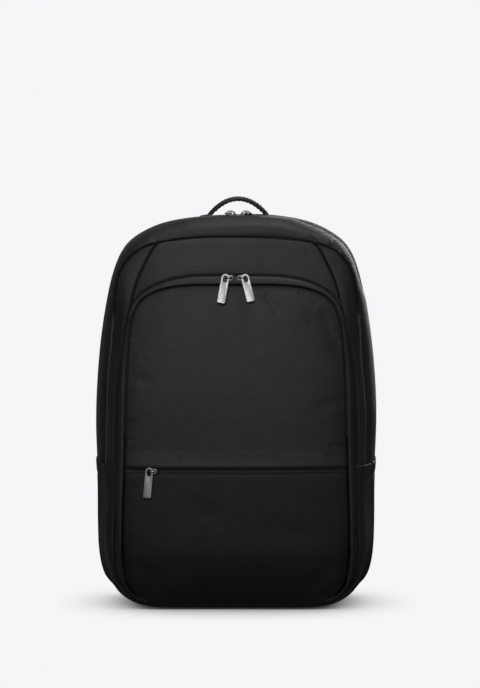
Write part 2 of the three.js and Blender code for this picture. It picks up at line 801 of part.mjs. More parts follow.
function lowerWebbing() {
  const points = new THREE.CatmullRomCurve3([
    wingTip.clone().addScaledVector(webbingStart, 2 * gap),
    wingTip.clone().addScaledVector(webbingStart, webbingRun * 0.35),
    onLock(lockLength + webbingRun * 0.12, -lockFace),
    webbingTop,
  ]).getPoints(10);
  return ribbon(points, flatOnBack, webbingSize);
}

function webbingTail() {
  const hang = (drop, out) => onLock(lockLength, out).add(new THREE.Vector3(0, 0, -drop));
  const points = new THREE.CatmullRomCurve3([
    onLock(lockLength * 0.45, lockFace),
    onLock(lockLength, lockFace + tailStandoff / 4),
    hang(tailLength / 2, lockFace + tailStandoff),
    hang(tailLength, lockFace + tailStandoff / 2),
  ]).getPoints(8);
  return ribbon(points, () => lockAcross.clone(), webbingSize);
}

// The handle: an arch over the rear gusset, with its width along Y

function handle() {
  const reach = handleSpan / 2 - handleThickness / 2;
  const lean = 0.7; // lifts the foot's lower corner clear of the cloth
  const foot = topAt(reach - handleThickness / 2 - handleMiddle) + gap + lean;
  const top = bodyHeight + handleRise - handleThickness / 2;
  const fullness = { across: 1.5, up: 1 }; // 1 is half of an ellipse, and less is fuller
  const points = shares(18).map((s) => {
    const angle = Math.PI * s;
    const side = -Math.sign(Math.cos(angle)) * Math.abs(Math.cos(angle)) ** fullness.across;
    const rise = Math.sin(angle) ** fullness.up;
    return new THREE.Vector3(handleMiddle + side * reach, handleBack, mix(foot, top, rise));
  });
  return ribbon(points, () => backwards.clone(), () => ({
    width: handleWidth,
    thickness: handleThickness,
  }));
}

// Sliders and pullers, in a frame of their own: X along the zip, Y up the cloth, Z out of it

function sliderGeometry() {
  const plate = new THREE.Shape();
  const l = sliderLength / 2;
  const w = sliderWidth / 2;
  const corner = 2.4;
  plate.moveTo(-l + corner, -w);
  plate.lineTo(l - corner, -w);
  plate.quadraticCurveTo(l, -w, l, -w + corner);
  plate.lineTo(l, w - corner);
  plate.quadraticCurveTo(l, w, l - corner, w);
  plate.lineTo(-l + corner, w);
  plate.quadraticCurveTo(-l, w, -l, w - corner);
  plate.lineTo(-l, -w + corner);
  plate.quadraticCurveTo(-l, -w, -l + corner, -w);
  const body = new THREE.ExtrudeGeometry(plate, {
    depth: sliderPlate,
    bevelEnabled: false,
    curveSegments: 2,
  });
  body.translate(0, 0, sliderLift);
  const arch = new THREE.Shape();
  const a = bridgeLength / 2;
  const sink = sliderPlate / 2;
  arch.moveTo(a, -sink);
  arch.lineTo(a, 0);
  arch.absellipse(0, 0, a, bridgeHeight, 0, Math.PI, false, 0);
  arch.lineTo(-a, -sink);
  arch.lineTo(-a + bridgeWire, -sink);
  arch.lineTo(-a + bridgeWire, 0);
  arch.absellipse(0, 0, a - bridgeWire, bridgeHeight - bridgeWire * 0.9, Math.PI, 0, true, 0);
  arch.lineTo(a - bridgeWire, -sink);
  const bridge = new THREE.ExtrudeGeometry(arch, {
    depth: bridgeWidth,
    bevelEnabled: false,
    curveSegments: 8,
  });
  bridge.rotateX(Math.PI / 2);
  bridge.translate(0, bridgeWidth / 2, sliderLift + sliderPlate);
  return geometryOf(solid(body).add(solid(bridge)));
}

// The pull tab: its eye goes round one leg of the bridge, which is at the frame's origin
function pullerGeometry() {
  const shape = new THREE.Shape();
  const w = pullerWidth / 2;
  const corner = 1.8;
  const end = w - pullerLength;
  shape.absarc(0, 0, w, 0, Math.PI, false);
  shape.lineTo(-w, end + corner);
  shape.quadraticCurveTo(-w, end, -w + corner, end);
  shape.lineTo(w - corner, end);
  shape.quadraticCurveTo(w, end, w, end + corner);
  shape.lineTo(w, 0);
  const eye = new THREE.Path();
  const r = pullerEye / 2;
  const drop = pullerEyeLength - pullerEye;
  eye.absarc(0, 0, r, Math.PI, 0, true);
  eye.lineTo(r, -drop);
  eye.absarc(0, -drop, r, 0, -Math.PI, true);
  shape.holes.push(eye);
  const tab = new THREE.ExtrudeGeometry(shape, {
    depth: pullerThickness,
    bevelEnabled: false,
    curveSegments: 6,
  });
  return tab.translate(0, 0, sliderLift + sliderPlate + pullerLift);
}

// The zip runs along the first direction, and the puller hangs down against the second. outwards is
// -1 for a puller whose eye is on the slider's leg behind the first direction, or 1 ahead of it.
function zipSlider(name, origin, along, up, outwards, sway) {
  const out = along.clone().cross(up).normalize();
  const level = up.clone().cross(out).normalize();
  const place = new THREE.Group();
  place.position.copy(origin);
  place.setRotationFromMatrix(new THREE.Matrix4().makeBasis(level, up.clone().normalize(), out));
  add("slider_" + name, sliderGeometry(), metal, place);
  const puller = add("puller_" + name, pullerGeometry(), metal, place);
  puller.position.x = outwards * (bridgeLength / 2 - bridgeWire / 2 - pullerShift);
  puller.rotation.z = THREE.MathUtils.degToRad(outwards * sway);
  bag.add(place);
}

// A slider on the face, leaning as the cloth does under it and its puller
function faceSlider(name, x, z, rise, outwards) {
  const on = (px, pz) => new THREE.Vector3(px, faceY(px, pz) - rise, pz);
  const along = on(x + sliderLength / 2, z).sub(on(x - sliderLength / 2, z));
  const up = on(x, z).sub(on(x, z - pullerLength + pullerWidth / 2));
  zipSlider(name, on(x, z), along, up, outwards, pullerSwayDeg);
}

// A slider on top, whose puller lies backwards
function topSlider(name, x, outwards) {
  const depth = (mainZipFront + mainZipRear) / 2;
  const origin = new THREE.Vector3(x, depth, topAt(x));
  zipSlider(name, origin, new THREE.Vector3(-1, 0, 0), new THREE.Vector3(0, -1, 0), -outwards, 0);
}

// The assembly

add("rear_shell", rearShell(), nylon);
add("front_shell", frontShell(), nylon);
add("main_zip", mainZip(), trim);
add("base_gusset", baseGusset(), nylon);
add("front_gusset", frontGusset(), nylon);
add("yoke", yoke(), nylon);
add("zip_flap", zipFlap(), nylon);
add("door", door(), nylon);
add("lower_panel", lowerPanel(), lowerNylon);
add("front_zip", frontZip(), trim);
add("pocket_zip", pocketZip(), trim);
add("back_pad", backPad(), nylon);
add("handle", handle(), leatherette);
const pairs = {
  side_pocket: [sidePocket(), nylon],
  strap: [strap(), nylon],
  ladder_lock: [ladderLock(), plastic],
  wing: [wing(), nylon],
  webbing: [lowerWebbing(), trim],
  webbing_tail: [webbingTail(), trim],
};
for (const [name, [geometry, finish]] of Object.entries(pairs)) {
  add(name + "_right", geometry, finish);
  add(name + "_left", mirrored(geometry), finish);
}
for (const [side, label] of [
  [-1, "left"],
  [1, "right"],
]) {
  topSlider("top_" + label, topSliderMiddle + (side * topSliderSpan) / 2, side);
  faceSlider(
    "front_" + label,
    frontSliderMiddle + (side * frontSliderSpan) / 2,
    doorTop + frontSliderOverDoor,
    flapRise,
    side,
  );
}
faceSlider("pocket", pocketSliderX, pocketZipHeight - pocketSliderDrop, gap, -1);

export default bag;
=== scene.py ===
"""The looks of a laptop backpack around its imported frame: metres, +Z up, the front at -Y.

Every cloth piece follows the same three closed rails as the frame: the body's widest outline, the
main seam in front of it, and the edge of the front face.
"""

import math

import bmesh
import bpy
import numpy as np
from mathutils import Matrix, Vector


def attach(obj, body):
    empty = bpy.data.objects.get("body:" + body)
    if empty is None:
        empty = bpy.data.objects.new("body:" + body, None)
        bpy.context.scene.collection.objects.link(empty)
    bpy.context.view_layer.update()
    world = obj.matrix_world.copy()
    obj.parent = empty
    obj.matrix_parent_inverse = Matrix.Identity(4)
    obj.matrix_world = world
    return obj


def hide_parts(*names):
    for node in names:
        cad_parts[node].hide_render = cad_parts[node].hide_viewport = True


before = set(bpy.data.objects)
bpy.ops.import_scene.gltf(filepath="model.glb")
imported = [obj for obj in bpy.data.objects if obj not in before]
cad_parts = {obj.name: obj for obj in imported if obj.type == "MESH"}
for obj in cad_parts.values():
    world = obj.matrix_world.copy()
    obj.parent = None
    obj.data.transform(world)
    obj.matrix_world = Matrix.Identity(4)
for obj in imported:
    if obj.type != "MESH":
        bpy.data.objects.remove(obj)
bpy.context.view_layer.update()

MM = 0.001

# Main sizes
HALF_WIDTH = 160 * MM
HEIGHT = 440 * MM
REAR_DEPTH = 62 * MM
SEAM_DEPTH = 40 * MM
FACE_DEPTH = 71 * MM
FACE_CROWN = 15 * MM
REAR_EDGE_RADIUS = 18 * MM
WALL = 2 * MM
GAP = 0.4 * MM
MIDDLE = np.array([0, 0, HEIGHT / 2])

# Zips
ZIP_FRONT = 8 * MM
ZIP_REAR = 20 * MM
ZIP_END = 0.24 * HEIGHT
TAPE = 1.2 * MM
TAPE_INSET = 0.6 * MM
COIL_PITCH = 1.4 * MM
FLAP_WIDTH = 9 * MM
FLAP_RISE = 1.2 * MM
FLAP_FOOT = 1 * MM
YOKE_TIP = 2.4 * MM
POCKET_ZIP = 159 * MM
POCKET_SLOT = 6 * MM
DOOR_LIP = 1.5 * MM
DOOR_LIP_REACH = 20 * MM

# Side pockets
POCKET_TOP = 163 * MM
POCKET_FOOT = 22 * MM
POCKET_BACK = 43 * MM
POCKET_WALL = 1.8 * MM

# Back, straps and handle
PAD_INSET = 12 * MM
PAD_DEPTH = 12 * MM
BACK_FACE = REAR_DEPTH + GAP + PAD_DEPTH
STRAP_WIDTH = 62 * MM
STRAP_DEPTH = 10 * MM
STRAP_STANDOFF = 36 * MM
WEBBING_WIDTH = 25 * MM
WEBBING_DEPTH = 1.6 * MM
LOCK_WIDTH = 33 * MM
LOCK_LENGTH = 30 * MM
LOCK_DEPTH = 4 * MM
LOCK_BAR = 4.6 * MM
WING_HEIGHT = 92 * MM
WING_SPAN = 44 * MM
WING_INSET = 29 * MM
WING_LIFT = 4 * MM
WING_RISE = 20 * MM
TAIL_LENGTH = 55 * MM
HANDLE_SPAN = 74 * MM
HANDLE_MIDDLE = 2.5 * MM
HANDLE_RISE = 22 * MM
HANDLE_WIDTH = 20 * MM
HANDLE_DEPTH = 5 * MM
HANDLE_BACK = 46 * MM

# From the middle of the base up to the middle of the top: X, Z and depth, as shares of
# HALF_WIDTH, of HEIGHT, and of SEAM_DEPTH or FACE_DEPTH.
STATIONS = [
    {"body": (0, 0), "seam": (0, 0, 1), "edge": (0, 0.009, 0.82)},
    {"body": (0.281, 0), "seam": (0.281, 0, 1), "edge": (0.281, 0.009, 0.82)},
    {"body": (0.488, 0.001), "seam": (0.481, 0.001, 1), "edge": (0.481, 0.01, 0.82)},
    {"body": (0.65, 0.007), "seam": (0.631, 0.007, 1), "edge": (0.619, 0.016, 0.83)},
    {"body": (0.763, 0.022), "seam": (0.738, 0.021, 1), "edge": (0.713, 0.03, 0.86)},
    {"body": (0.863, 0.048), "seam": (0.825, 0.046, 1), "edge": (0.781, 0.059, 0.9)},
    {"body": (0.931, 0.086), "seam": (0.881, 0.084, 1), "edge": (0.832, 0.1, 0.94)},
    {"body": (0.964, 0.141), "seam": (0.906, 0.141, 1), "edge": (0.845, 0.155, 0.985)},
    {"body": (0.976, 0.213), "seam": (0.912, 0.213, 1), "edge": (0.843, 0.22, 1)},
    {"body": (0.981, 0.318), "seam": (0.906, 0.318, 1), "edge": (0.834, 0.318, 0.99)},
    {"body": (0.997, 0.455), "seam": (0.905, 0.455, 0.975), "edge": (0.824, 0.455, 0.945)},
    {"body": (0.993, 0.55), "seam": (0.893, 0.55, 0.95), "edge": (0.818, 0.55, 0.895)},
    {"body": (0.967, 0.67), "seam": (0.874, 0.664, 0.9), "edge": (0.791, 0.655, 0.8)},
    {"body": (0.928, 0.768), "seam": (0.859, 0.761, 0.85), "edge": (0.747, 0.755, 0.7)},
    {"body": (0.878, 0.85), "seam": (0.828, 0.845, 0.79), "edge": (0.702, 0.827, 0.605)},
    {"body": (0.813, 0.909), "seam": (0.763, 0.891, 0.75), "edge": (0.634, 0.886, 0.535)},
    {"body": (0.713, 0.948), "seam": (0.669, 0.92, 0.725), "edge": (0.56, 0.929, 0.475)},
    {"body": (0.525, 0.981), "seam": (0.5, 0.94, 0.712), "edge": (0.45, 0.9405, 0.452)},
    {"body": (0.275, 0.9975), "seam": (0.263, 0.951, 0.7), "edge": (0.25, 0.9485, 0.444)},
    {"body": (0, 1), "seam": (0, 0.952, 0.7), "edge": (0, 0.95, 0.438)},
]

# The door's edge from its lower corner up to the middle of the arch, in the same shares, with
# the flap's width there as a share of FLAP_WIDTH.
DOOR_EDGE = [
    {"x": 0.61, "z": 0.021, "flap": 0.15},
    {"x": 0.708, "z": 0.041, "flap": 0.45},
    {"x": 0.768, "z": 0.075, "flap": 0.6},
    {"x": 0.789, "z": 0.123, "flap": 0.7},
    {"x": 0.793, "z": 0.193, "flap": 0.7},
    {"x": 0.788, "z": 0.273, "flap": 0.9},
    {"x": 0.778, "z": 0.368, "flap": 0.95},
    {"x": 0.774, "z": 0.468, "flap": 0.95},
    {"x": 0.771, "z": 0.559, "flap": 0.85},
    {"x": 0.76, "z": 0.657, "flap": 0.6},
    {"x": 0.743, "z": 0.72, "flap": 0.5},
    {"x": 0.718, "z": 0.756, "flap": 0.45},
    {"x": 0.675, "z": 0.786, "flap": 0.45},
    {"x": 0.585, "z": 0.809, "flap": 0.55},
    {"x": 0.46, "z": 0.823, "flap": 0.75},
    {"x": 0.3, "z": 0.829, "flap": 0.95},
    {"x": 0.15, "z": 0.8295, "flap": 1},
    {"x": 0, "z": 0.8295, "flap": 1},
]

# The right strap's middle line from its sewn top to the buckle. off is a share of STRAP_STANDOFF
# and wide a share of STRAP_WIDTH.
STRAP_LINE = [
    {"x": 0.2, "z": 0.955, "off": 0.16, "wide": 0.85},
    {"x": 0.21, "z": 0.93, "off": 0.19, "wide": 0.9},
    {"x": 0.235, "z": 0.885, "off": 0.5, "wide": 0.96},
    {"x": 0.28, "z": 0.81, "off": 0.87, "wide": 1},
    {"x": 0.335, "z": 0.72, "off": 1, "wide": 1},
    {"x": 0.395, "z": 0.63, "off": 0.98, "wide": 0.97},
    {"x": 0.46, "z": 0.54, "off": 0.85, "wide": 0.9},
    {"x": 0.53, "z": 0.45, "off": 0.66, "wide": 0.8},
    {"x": 0.552, "z": 0.425, "off": 0.6, "wide": 0.66},
]


# Curves and rails


def curve_through(points, closed=False):
    """A smooth curve through points, as a function of an array of shares from 0 to 1."""
    points = np.asarray(points, float)
    count = len(points)

    def at(t):
        t = np.atleast_1d(np.asarray(t, float))
        if closed:
            place = (t % 1.0) * count
            i = np.floor(place).astype(int)
            a, b, c, d = (points[(i + k) % count] for k in (-1, 0, 1, 2))
        else:
            place = np.clip(t, 0, 1) * (count - 1)
            i = np.minimum(np.floor(place).astype(int), count - 2)
            first, last = 2 * points[0] - points[1], 2 * points[-1] - points[-2]
            longer = np.vstack([first, points, last])
            a, b, c, d = (longer[i + k] for k in (0, 1, 2, 3))
        w = (place - i)[:, None]
        leave, arrive = (c - a) / 2, (d - b) / 2
        start = (2 * w**3 - 3 * w**2 + 1) * b + (w**3 - 2 * w**2 + w) * leave
        return start + (3 * w**2 - 2 * w**3) * c + (w**3 - w**2) * arrive

    return at


def rail(name, full_depth):
    """A closed line round the whole body, from a column of STATIONS, as a function of shares."""
    right = [
        (x * HALF_WIDTH, -(rest[0] if rest else 0) * full_depth, z * HEIGHT)
        for x, z, *rest in (station[name] for station in STATIONS)
    ]
    left = [(-x, y, z) for x, y, z in right[-2:0:-1]]
    along = curve_through(right + left, closed=True)

    def at(t):
        p = along(t)
        p[:, 2] = np.maximum(p[:, 2], 0)
        return p

    return at


body_rail = rail("body", 0)
seam_rail = rail("seam", SEAM_DEPTH)
edge_rail = rail("edge", FACE_DEPTH)

HALF_RING = np.linspace(0, 0.5, 4001)


def rail_at(along, height):
    """The share at which the +X side of a rail reaches a height."""
    heights = np.maximum.accumulate(along(HALF_RING)[:, 2])
    return np.interp(height, heights, HALF_RING)


def lengths_along(path):
    """The length of a path up to each of its points."""
    return np.concatenate([[0], np.cumsum(np.linalg.norm(np.diff(path, axis=0), axis=1))])


def spaced(along, start, end, count):
    """Shares from start to end whose points are evenly spaced."""
    fine = np.linspace(start, end, count * 12)
    length = lengths_along(along(fine))
    return np.interp(np.linspace(0, length[-1], count), length, fine)


def ring(count):
    """Shares round the whole body, evenly spaced, with the last point apart from the first."""
    return spaced(body_rail, 0, 1, count + 1)[:-1]


def body_point(t, inset, depth):
    """The body's outline moved inwards by inset and back to a depth."""
    step = 0.002
    along = body_rail(t + step) - body_rail(t - step)
    along /= np.linalg.norm(along, axis=1, keepdims=True)
    p = body_rail(t)
    p[:, 0] -= along[:, 2] * inset
    p[:, 1] = depth
    p[:, 2] = np.maximum(p[:, 2] + along[:, 0] * inset, 0)
    return p


def top_at(x):
    """The body's height over a distance from the middle plane."""
    upper = body_rail(np.linspace(0.5, 0.4, 2001))
    return np.interp(np.abs(x), upper[:, 0], upper[:, 2])


def rounded(start, end, share):
    """A quarter of an ellipse that leaves along Y and arrives facing forward."""
    angle = share * math.pi / 2
    across, forward = 1 - math.cos(angle), math.sin(angle)
    p = start + (end - start) * across
    p[:, 1] = start[:, 1] + (end[:, 1] - start[:, 1]) * forward
    return p


def ramp(x):
    """0 below 0, 1 above 1, and smooth between."""
    x = np.clip(x, 0, 1)
    return x * x * (3 - 2 * x)


def bump(x, width):
    """1 at 0 and close to 0 from twice the width on."""
    return np.exp(-((x / width) ** 2))


def fading(x, reach, power=2):
    """1 at 0 and below, falling to 0 at reach."""
    return np.clip(1 - x / reach, 0, 1) ** power


def unit(v):
    return v / np.maximum(np.linalg.norm(v, axis=-1, keepdims=True), 1e-12)


def outward(p):
    """The directions of X and Z that lead away from the bag's middle."""
    return unit((p - MIDDLE) * [1, 0, 1])


def square_to(v, along):
    """The directions of v, turned square to a path's."""
    return unit(v - along * np.sum(v * along, axis=1, keepdims=True))


def upright(x, depth, z):
    """Points of X and Z in one plane of Y."""
    return np.stack([x, np.full_like(x, depth), z], axis=-1)


# The face: how far forward it stands at a point of X and Z

EDGE_POINTS = edge_rail(HALF_RING)
EDGE_HEIGHTS = np.maximum.accumulate(EDGE_POINTS[:, 2])
FACE_BOTTOM = EDGE_HEIGHTS[0]
FACE_TOP = EDGE_HEIGHTS[-1]
CROWN_FOOT = 0.16 * HEIGHT
CROWN_HEAD = 0.34 * HEIGHT
CROWN_POWER = 2.6


def edge_half_width(z):
    """The distance from the middle plane to the front's edge at a height."""
    return np.maximum(np.interp(z, EDGE_HEIGHTS, EDGE_POINTS[:, 0]), 1 * MM)


def face_y(x, z):
    """The face is flat at its edge and bulges forward by up to FACE_CROWN."""
    z = np.clip(z, FACE_BOTTOM, FACE_TOP)
    foot = 1 - fading(z - FACE_BOTTOM, CROWN_FOOT)
    head = 1 - fading(FACE_TOP - z, CROWN_HEAD)
    side = 1 - np.minimum(np.abs(x) / edge_half_width(z), 1) ** CROWN_POWER
    return np.interp(z, EDGE_HEIGHTS, EDGE_POINTS[:, 1]) - FACE_CROWN * foot * head * side


door_curve = curve_through([(r["x"] * HALF_WIDTH, r["z"] * HEIGHT) for r in DOOR_EDGE[::-1]])
DOOR_SHARES = np.linspace(0, 1, 2001)
DOOR_POINTS = door_curve(DOOR_SHARES)
FLAP_SHARES = np.array([r["flap"] for r in DOOR_EDGE[::-1]])


def flap_width_at(s):
    place = np.abs(s) * (len(FLAP_SHARES) - 1)
    return FLAP_WIDTH * np.interp(place, np.arange(len(FLAP_SHARES)), FLAP_SHARES)


def beside_door(s, beside):
    """A point (X, Z) beside the door's edge: s is 0 at the middle of the arch, 1 at the lower
    corner on +X, and beside is the distance outwards."""
    s = np.atleast_1d(s)
    step = 0.004
    size = np.abs(s)
    along = door_curve(np.minimum(size + step, 1)) - door_curve(np.maximum(size - step, 0))
    along /= np.linalg.norm(along, axis=1, keepdims=True)
    p = door_curve(size)
    x = p[:, 0] - along[:, 1] * beside
    z = np.maximum(p[:, 1] + along[:, 0] * beside, FACE_BOTTOM + FLAP_FOOT)
    x = np.minimum(x, edge_half_width(z) - GAP)
    return np.stack([np.where(s < 0, -1, 1) * x, z], axis=1)


def door_half_width(z):
    return np.interp(z, DOOR_POINTS[::-1, 1], DOOR_POINTS[::-1, 0])


def distance_to(line, x, z):
    """The distance of each point to a line of points, and the place of the nearest one on it."""
    flat = np.stack([np.ravel(x), np.ravel(z)], axis=1)
    best = np.full(len(flat), np.inf)
    place = np.zeros(len(flat))
    for i, (a, b) in enumerate(zip(line[:-1], line[1:])):
        step = b - a
        w = np.clip(((flat - a) @ step) / max(step @ step, 1e-18), 0, 1)
        gap = np.linalg.norm(flat - a - w[:, None] * step, axis=1)
        nearer = gap < best
        best[nearer] = gap[nearer]
        place[nearer] = (i + w[nearer]) / (len(line) - 1)
    return best.reshape(np.shape(x)), place.reshape(np.shape(x))


# The cloth's own unevenness


def unevenness(seed, size, waves=7):
    """A smooth field between about -1 and 1, whose swells are about size metres across."""
    random = np.random.default_rng(seed)
    directions = random.normal(size=(waves, 3))
    directions /= np.linalg.norm(directions, axis=1, keepdims=True)
    lengths = size * random.uniform(0.7, 1.8, waves)
    phases = random.uniform(0, 2 * math.pi, waves)

    def at(p):
        turns = p @ (directions / lengths[:, None]).T * math.pi + phases
        return np.sin(turns).sum(axis=-1) / math.sqrt(waves)

    return at


# Folds seen from the front. x, z: the two ends in millimetres. wide and deep: across the fold
# and into the cloth, where a negative depth stands out.
FOLDS = [
    {"x": (87, 90), "z": (419, 409), "wide": 1.7, "deep": 1.7},
    {"x": (110, 116), "z": (411, 402), "wide": 2, "deep": 1.6},
    {"x": (94, 106), "z": (419, 411), "wide": 5, "deep": -1.3},
    {"x": (120, 130), "z": (394, 376), "wide": 3, "deep": 1.2},
    {"x": (-62, -92), "z": (428, 417), "wide": 5, "deep": 0.8},
    {"x": (106, 121), "z": (186, 184), "wide": 2.2, "deep": 1.2},
    {"x": (104, 121), "z": (177, 175), "wide": 3, "deep": 0.8},
    {"x": (34, 46), "z": (352, 336), "wide": 5, "deep": 1.3},
    {"x": (50, 74), "z": (356, 330), "wide": 9, "deep": -0.9},
    {"x": (-40, -66), "z": (350, 318), "wide": 10, "deep": 0.9},
    {"x": (-20, -8), "z": (345, 300), "wide": 9, "deep": 0.7},
    {"x": (10, 20), "z": (346, 296), "wide": 8, "deep": 0.8},
    {"x": (-96, -112), "z": (335, 300), "wide": 8, "deep": 0.8},
    {"x": (98, 112), "z": (330, 290), "wide": 7, "deep": 0.9},
    {"x": (-118, -96), "z": (262, 258), "wide": 7, "deep": 0.6},
    {"x": (118, 92), "z": (236, 228), "wide": 7, "deep": 0.7},
    {"x": (-70, 60), "z": (172, 171), "wide": 6, "deep": 0.5},
    {"x": (-60, -20), "z": (118, 112), "wide": 14, "deep": 0.8},
    {"x": (30, 84), "z": (96, 84), "wide": 15, "deep": 0.8},
    {"x": (-110, -84), "z": (52, 30), "wide": 8, "deep": 0.8},
    {"x": (112, 86), "z": (54, 32), "wide": 8, "deep": 0.8},
]


def fold_depth(p):
    """How far the folds of the front push each point of an array in."""
    depth = np.zeros(p.shape[:-1])
    for fold in FOLDS:
        a = np.array([fold["x"][0], fold["z"][0]]) * MM
        step = np.array([fold["x"][1], fold["z"][1]]) * MM - a
        flat = p[..., [0, 2]] - a
        along = (flat @ step) / (step @ step)
        across = (flat[..., 0] * step[1] - flat[..., 1] * step[0]) / np.linalg.norm(step)
        ends = ramp((along + 0.35) / 0.5) * ramp((1.35 - along) / 0.5)
        depth += fold["deep"] * MM * bump(across, fold["wide"] * MM) * ends
    return depth


# Meshes


def add_object(name, data):
    obj = bpy.data.objects.new(name, data)
    bpy.context.scene.collection.objects.link(obj)
    return obj


def finished(name, data, finish, body, angle=None):
    """Makes a smooth mesh an object that rides a body. Edges that turn by more than angle, in
    degrees, stay sharp."""
    data.polygons.foreach_set("use_smooth", [True] * len(data.polygons))
    if angle is not None:
        data.set_sharp_from_angle(angle=math.radians(angle))
    data.materials.append(finish)
    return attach(add_object(name, data), body)


def mesh_object(name, points, faces, finish, cloth=None, body="bag", angle=40, join=True):
    """A closed mesh whose faces are turned outwards. cloth gives (u, v) in metres at each face's
    corners, for the weave. join: points in one place become one."""
    data = bpy.data.meshes.new(name)
    data.from_pydata(points.tolist(), [], faces)
    if cloth is not None:
        layer = data.uv_layers.new(name="cloth")
        layer.data.foreach_set("uv", np.asarray(cloth, np.float32).ravel())
    work = bmesh.new()
    work.from_mesh(data)
    if join:
        bmesh.ops.remove_doubles(work, verts=work.verts, dist=1e-7)
    bmesh.ops.recalc_face_normals(work, faces=work.faces)
    work.to_mesh(data)
    work.free()
    return finished(name, data, finish, body, angle)


def skin(name, grid, finish, wrap_rows=False, wrap_columns=False, **more):
    """A mesh over a grid of points, whose rows or columns may close on themselves."""
    rows, columns, _ = grid.shape
    ids = np.arange(rows * columns).reshape(rows, columns)
    steps_down = np.linalg.norm(np.diff(grid, axis=0), axis=2).mean(axis=1)
    steps_across = np.linalg.norm(np.diff(grid, axis=1), axis=2).mean(axis=0)
    v = np.concatenate([[0], np.cumsum(steps_down), [steps_down.sum() + steps_down.mean()]])
    u = np.concatenate([[0], np.cumsum(steps_across), [steps_across.sum() + steps_across.mean()]])
    last_row = rows if wrap_rows else rows - 1
    last_column = columns if wrap_columns else columns - 1
    i, j = np.meshgrid(np.arange(last_row), np.arange(last_column), indexing="ij")
    k, m = (i + 1) % rows, (j + 1) % columns
    faces = np.stack([ids[i, j], ids[i, m], ids[k, m], ids[k, j]], axis=-1).reshape(-1, 4)
    left, right, above, below = u[j], u[j + 1], v[i], v[i + 1]
    corners = [(left, above), (right, above), (right, below), (left, below)]
    cloth = np.stack([np.stack(c, axis=-1) for c in corners], axis=2).reshape(-1, 2)
    return mesh_object(name, grid.reshape(-1, 3), faces.tolist(), finish, cloth, **more)


def normals_of(grid, loop=False):
    """The unit normals of a grid, away from the bag's middle. loop: the columns close on
    themselves."""
    down = np.gradient(grid, axis=0)
    if loop:
        across = (np.roll(grid, -1, axis=1) - np.roll(grid, 1, axis=1)) / 2
    else:
        across = np.gradient(grid, axis=1)
    n = unit(np.cross(down, across))
    return n if np.sum(n * (grid - MIDDLE)) > 0 else -n


def beyond(edge, next_to, distance):
    """Points a distance past the edge of a grid, in line with its last step."""
    return edge + unit(edge - next_to) * distance


def capped(grid):
    """A grid whose first and last rows each close to a point."""
    first, last = (np.broadcast_to(grid[k].mean(axis=0), (1,) + grid.shape[1:]) for k in (0, -1))
    return np.vstack([first, grid, last])


def cloth_sheet(name, outer, thickness, finish, loop=False, inward=None, centre=None, **more):
    """A sheet of cloth with round rims under a visible grid. inward is the direction of its
    thickness, or the grid's normals count. centre closes the last row of a loop to a point."""
    direction = -normals_of(outer, loop) if inward is None else np.asarray(inward, float)
    inner = outer + direction * thickness
    middle = (outer + inner) / 2
    lip = float(np.min(thickness)) / 2
    if not loop:
        left = beyond(middle[:, 0], middle[:, 1], lip)[:, None]
        right = beyond(middle[:, -1], middle[:, -2], lip)[:, None]
        outer, inner, middle = (np.hstack([left, g, right]) for g in (outer, inner, middle))
    first = beyond(middle[0], middle[1], lip)[None]
    if centre is None:
        last = beyond(middle[-1], middle[-2], lip)[None]
        grid = np.vstack([outer, last, inner[::-1], first])
        return skin(name, grid, finish, wrap_rows=True, wrap_columns=loop, **more)
    far = np.asarray(centre, float)
    behind = far + np.array([0, math.copysign(thickness, -far[1]), 0])
    ends = [np.broadcast_to(p, (1,) + outer.shape[1:]) for p in (far, behind)]
    grid = np.vstack([ends[0], outer[::-1], first, inner, ends[1]])
    return skin(name, grid, finish, wrap_columns=True, **more)


def tangents(path, closed=False):
    if closed:
        return unit(np.roll(path, -1, axis=0) - np.roll(path, 1, axis=0))
    return unit(np.gradient(path, axis=0))


def tube(name, path, radius, finish, closed=False, sides=8, outwards=None, **more):
    """A round tube along a path. radius is one number or one for each point."""
    path = np.asarray(path, float)
    along = tangents(path, closed)
    out = path - MIDDLE if outwards is None else np.broadcast_to(outwards, path.shape)
    out = square_to(out, along)
    side = np.cross(along, out)
    radius = np.broadcast_to(radius, len(path))[:, None, None]
    angles = np.linspace(0, 2 * math.pi, sides, endpoint=False)[None, :, None]
    grid = path[:, None] + radius * (out[:, None] * np.cos(angles) + side[:, None] * np.sin(angles))
    if not closed:
        grid = capped(grid)
    return skin(name, grid, finish, wrap_rows=closed, wrap_columns=True, **more)


def at_lengths(path, length, where):
    """The values of a path at some of its lengths."""
    return np.stack([np.interp(where, length, part) for part in path.T], axis=1)


def at_steps(path, normal, pitch):
    """Evenly spaced places along a path, the first half a step from its start: their points,
    directions and normals."""
    length = lengths_along(path)
    count = int(length[-1] / pitch)
    where = (np.arange(count) + 0.5) * length[-1] / count
    parts = (path, np.gradient(path, axis=0), np.broadcast_to(normal, path.shape))
    point, way, out = (at_lengths(part, length, where) for part in parts)
    way = unit(way)
    return point, way, square_to(out, way)


def bead(long, wide, high, sides=4):
    """A small closed shape, fullest in its middle: its points and faces. long is along X and
    high along Z."""
    rings = [(-0.5, 0.35), (-0.3, 0.9), (0.3, 0.9), (0.5, 0.35)]
    turns = [2 * math.pi * k / sides for k in range(sides)]
    points = np.array([
        (x * long, share * wide / 2 * math.cos(turn), share * high / 2 * math.sin(turn))
        for x, share in rings
        for turn in turns
    ])
    faces = [
        (i + k, i + (k + 1) % sides, i + sides + (k + 1) % sides, i + sides + k)
        for i in range(0, len(points) - sides, sides)
        for k in range(sides)
    ]
    faces += [tuple(range(sides)), tuple(range(len(points) - sides, len(points)))]
    return points, faces


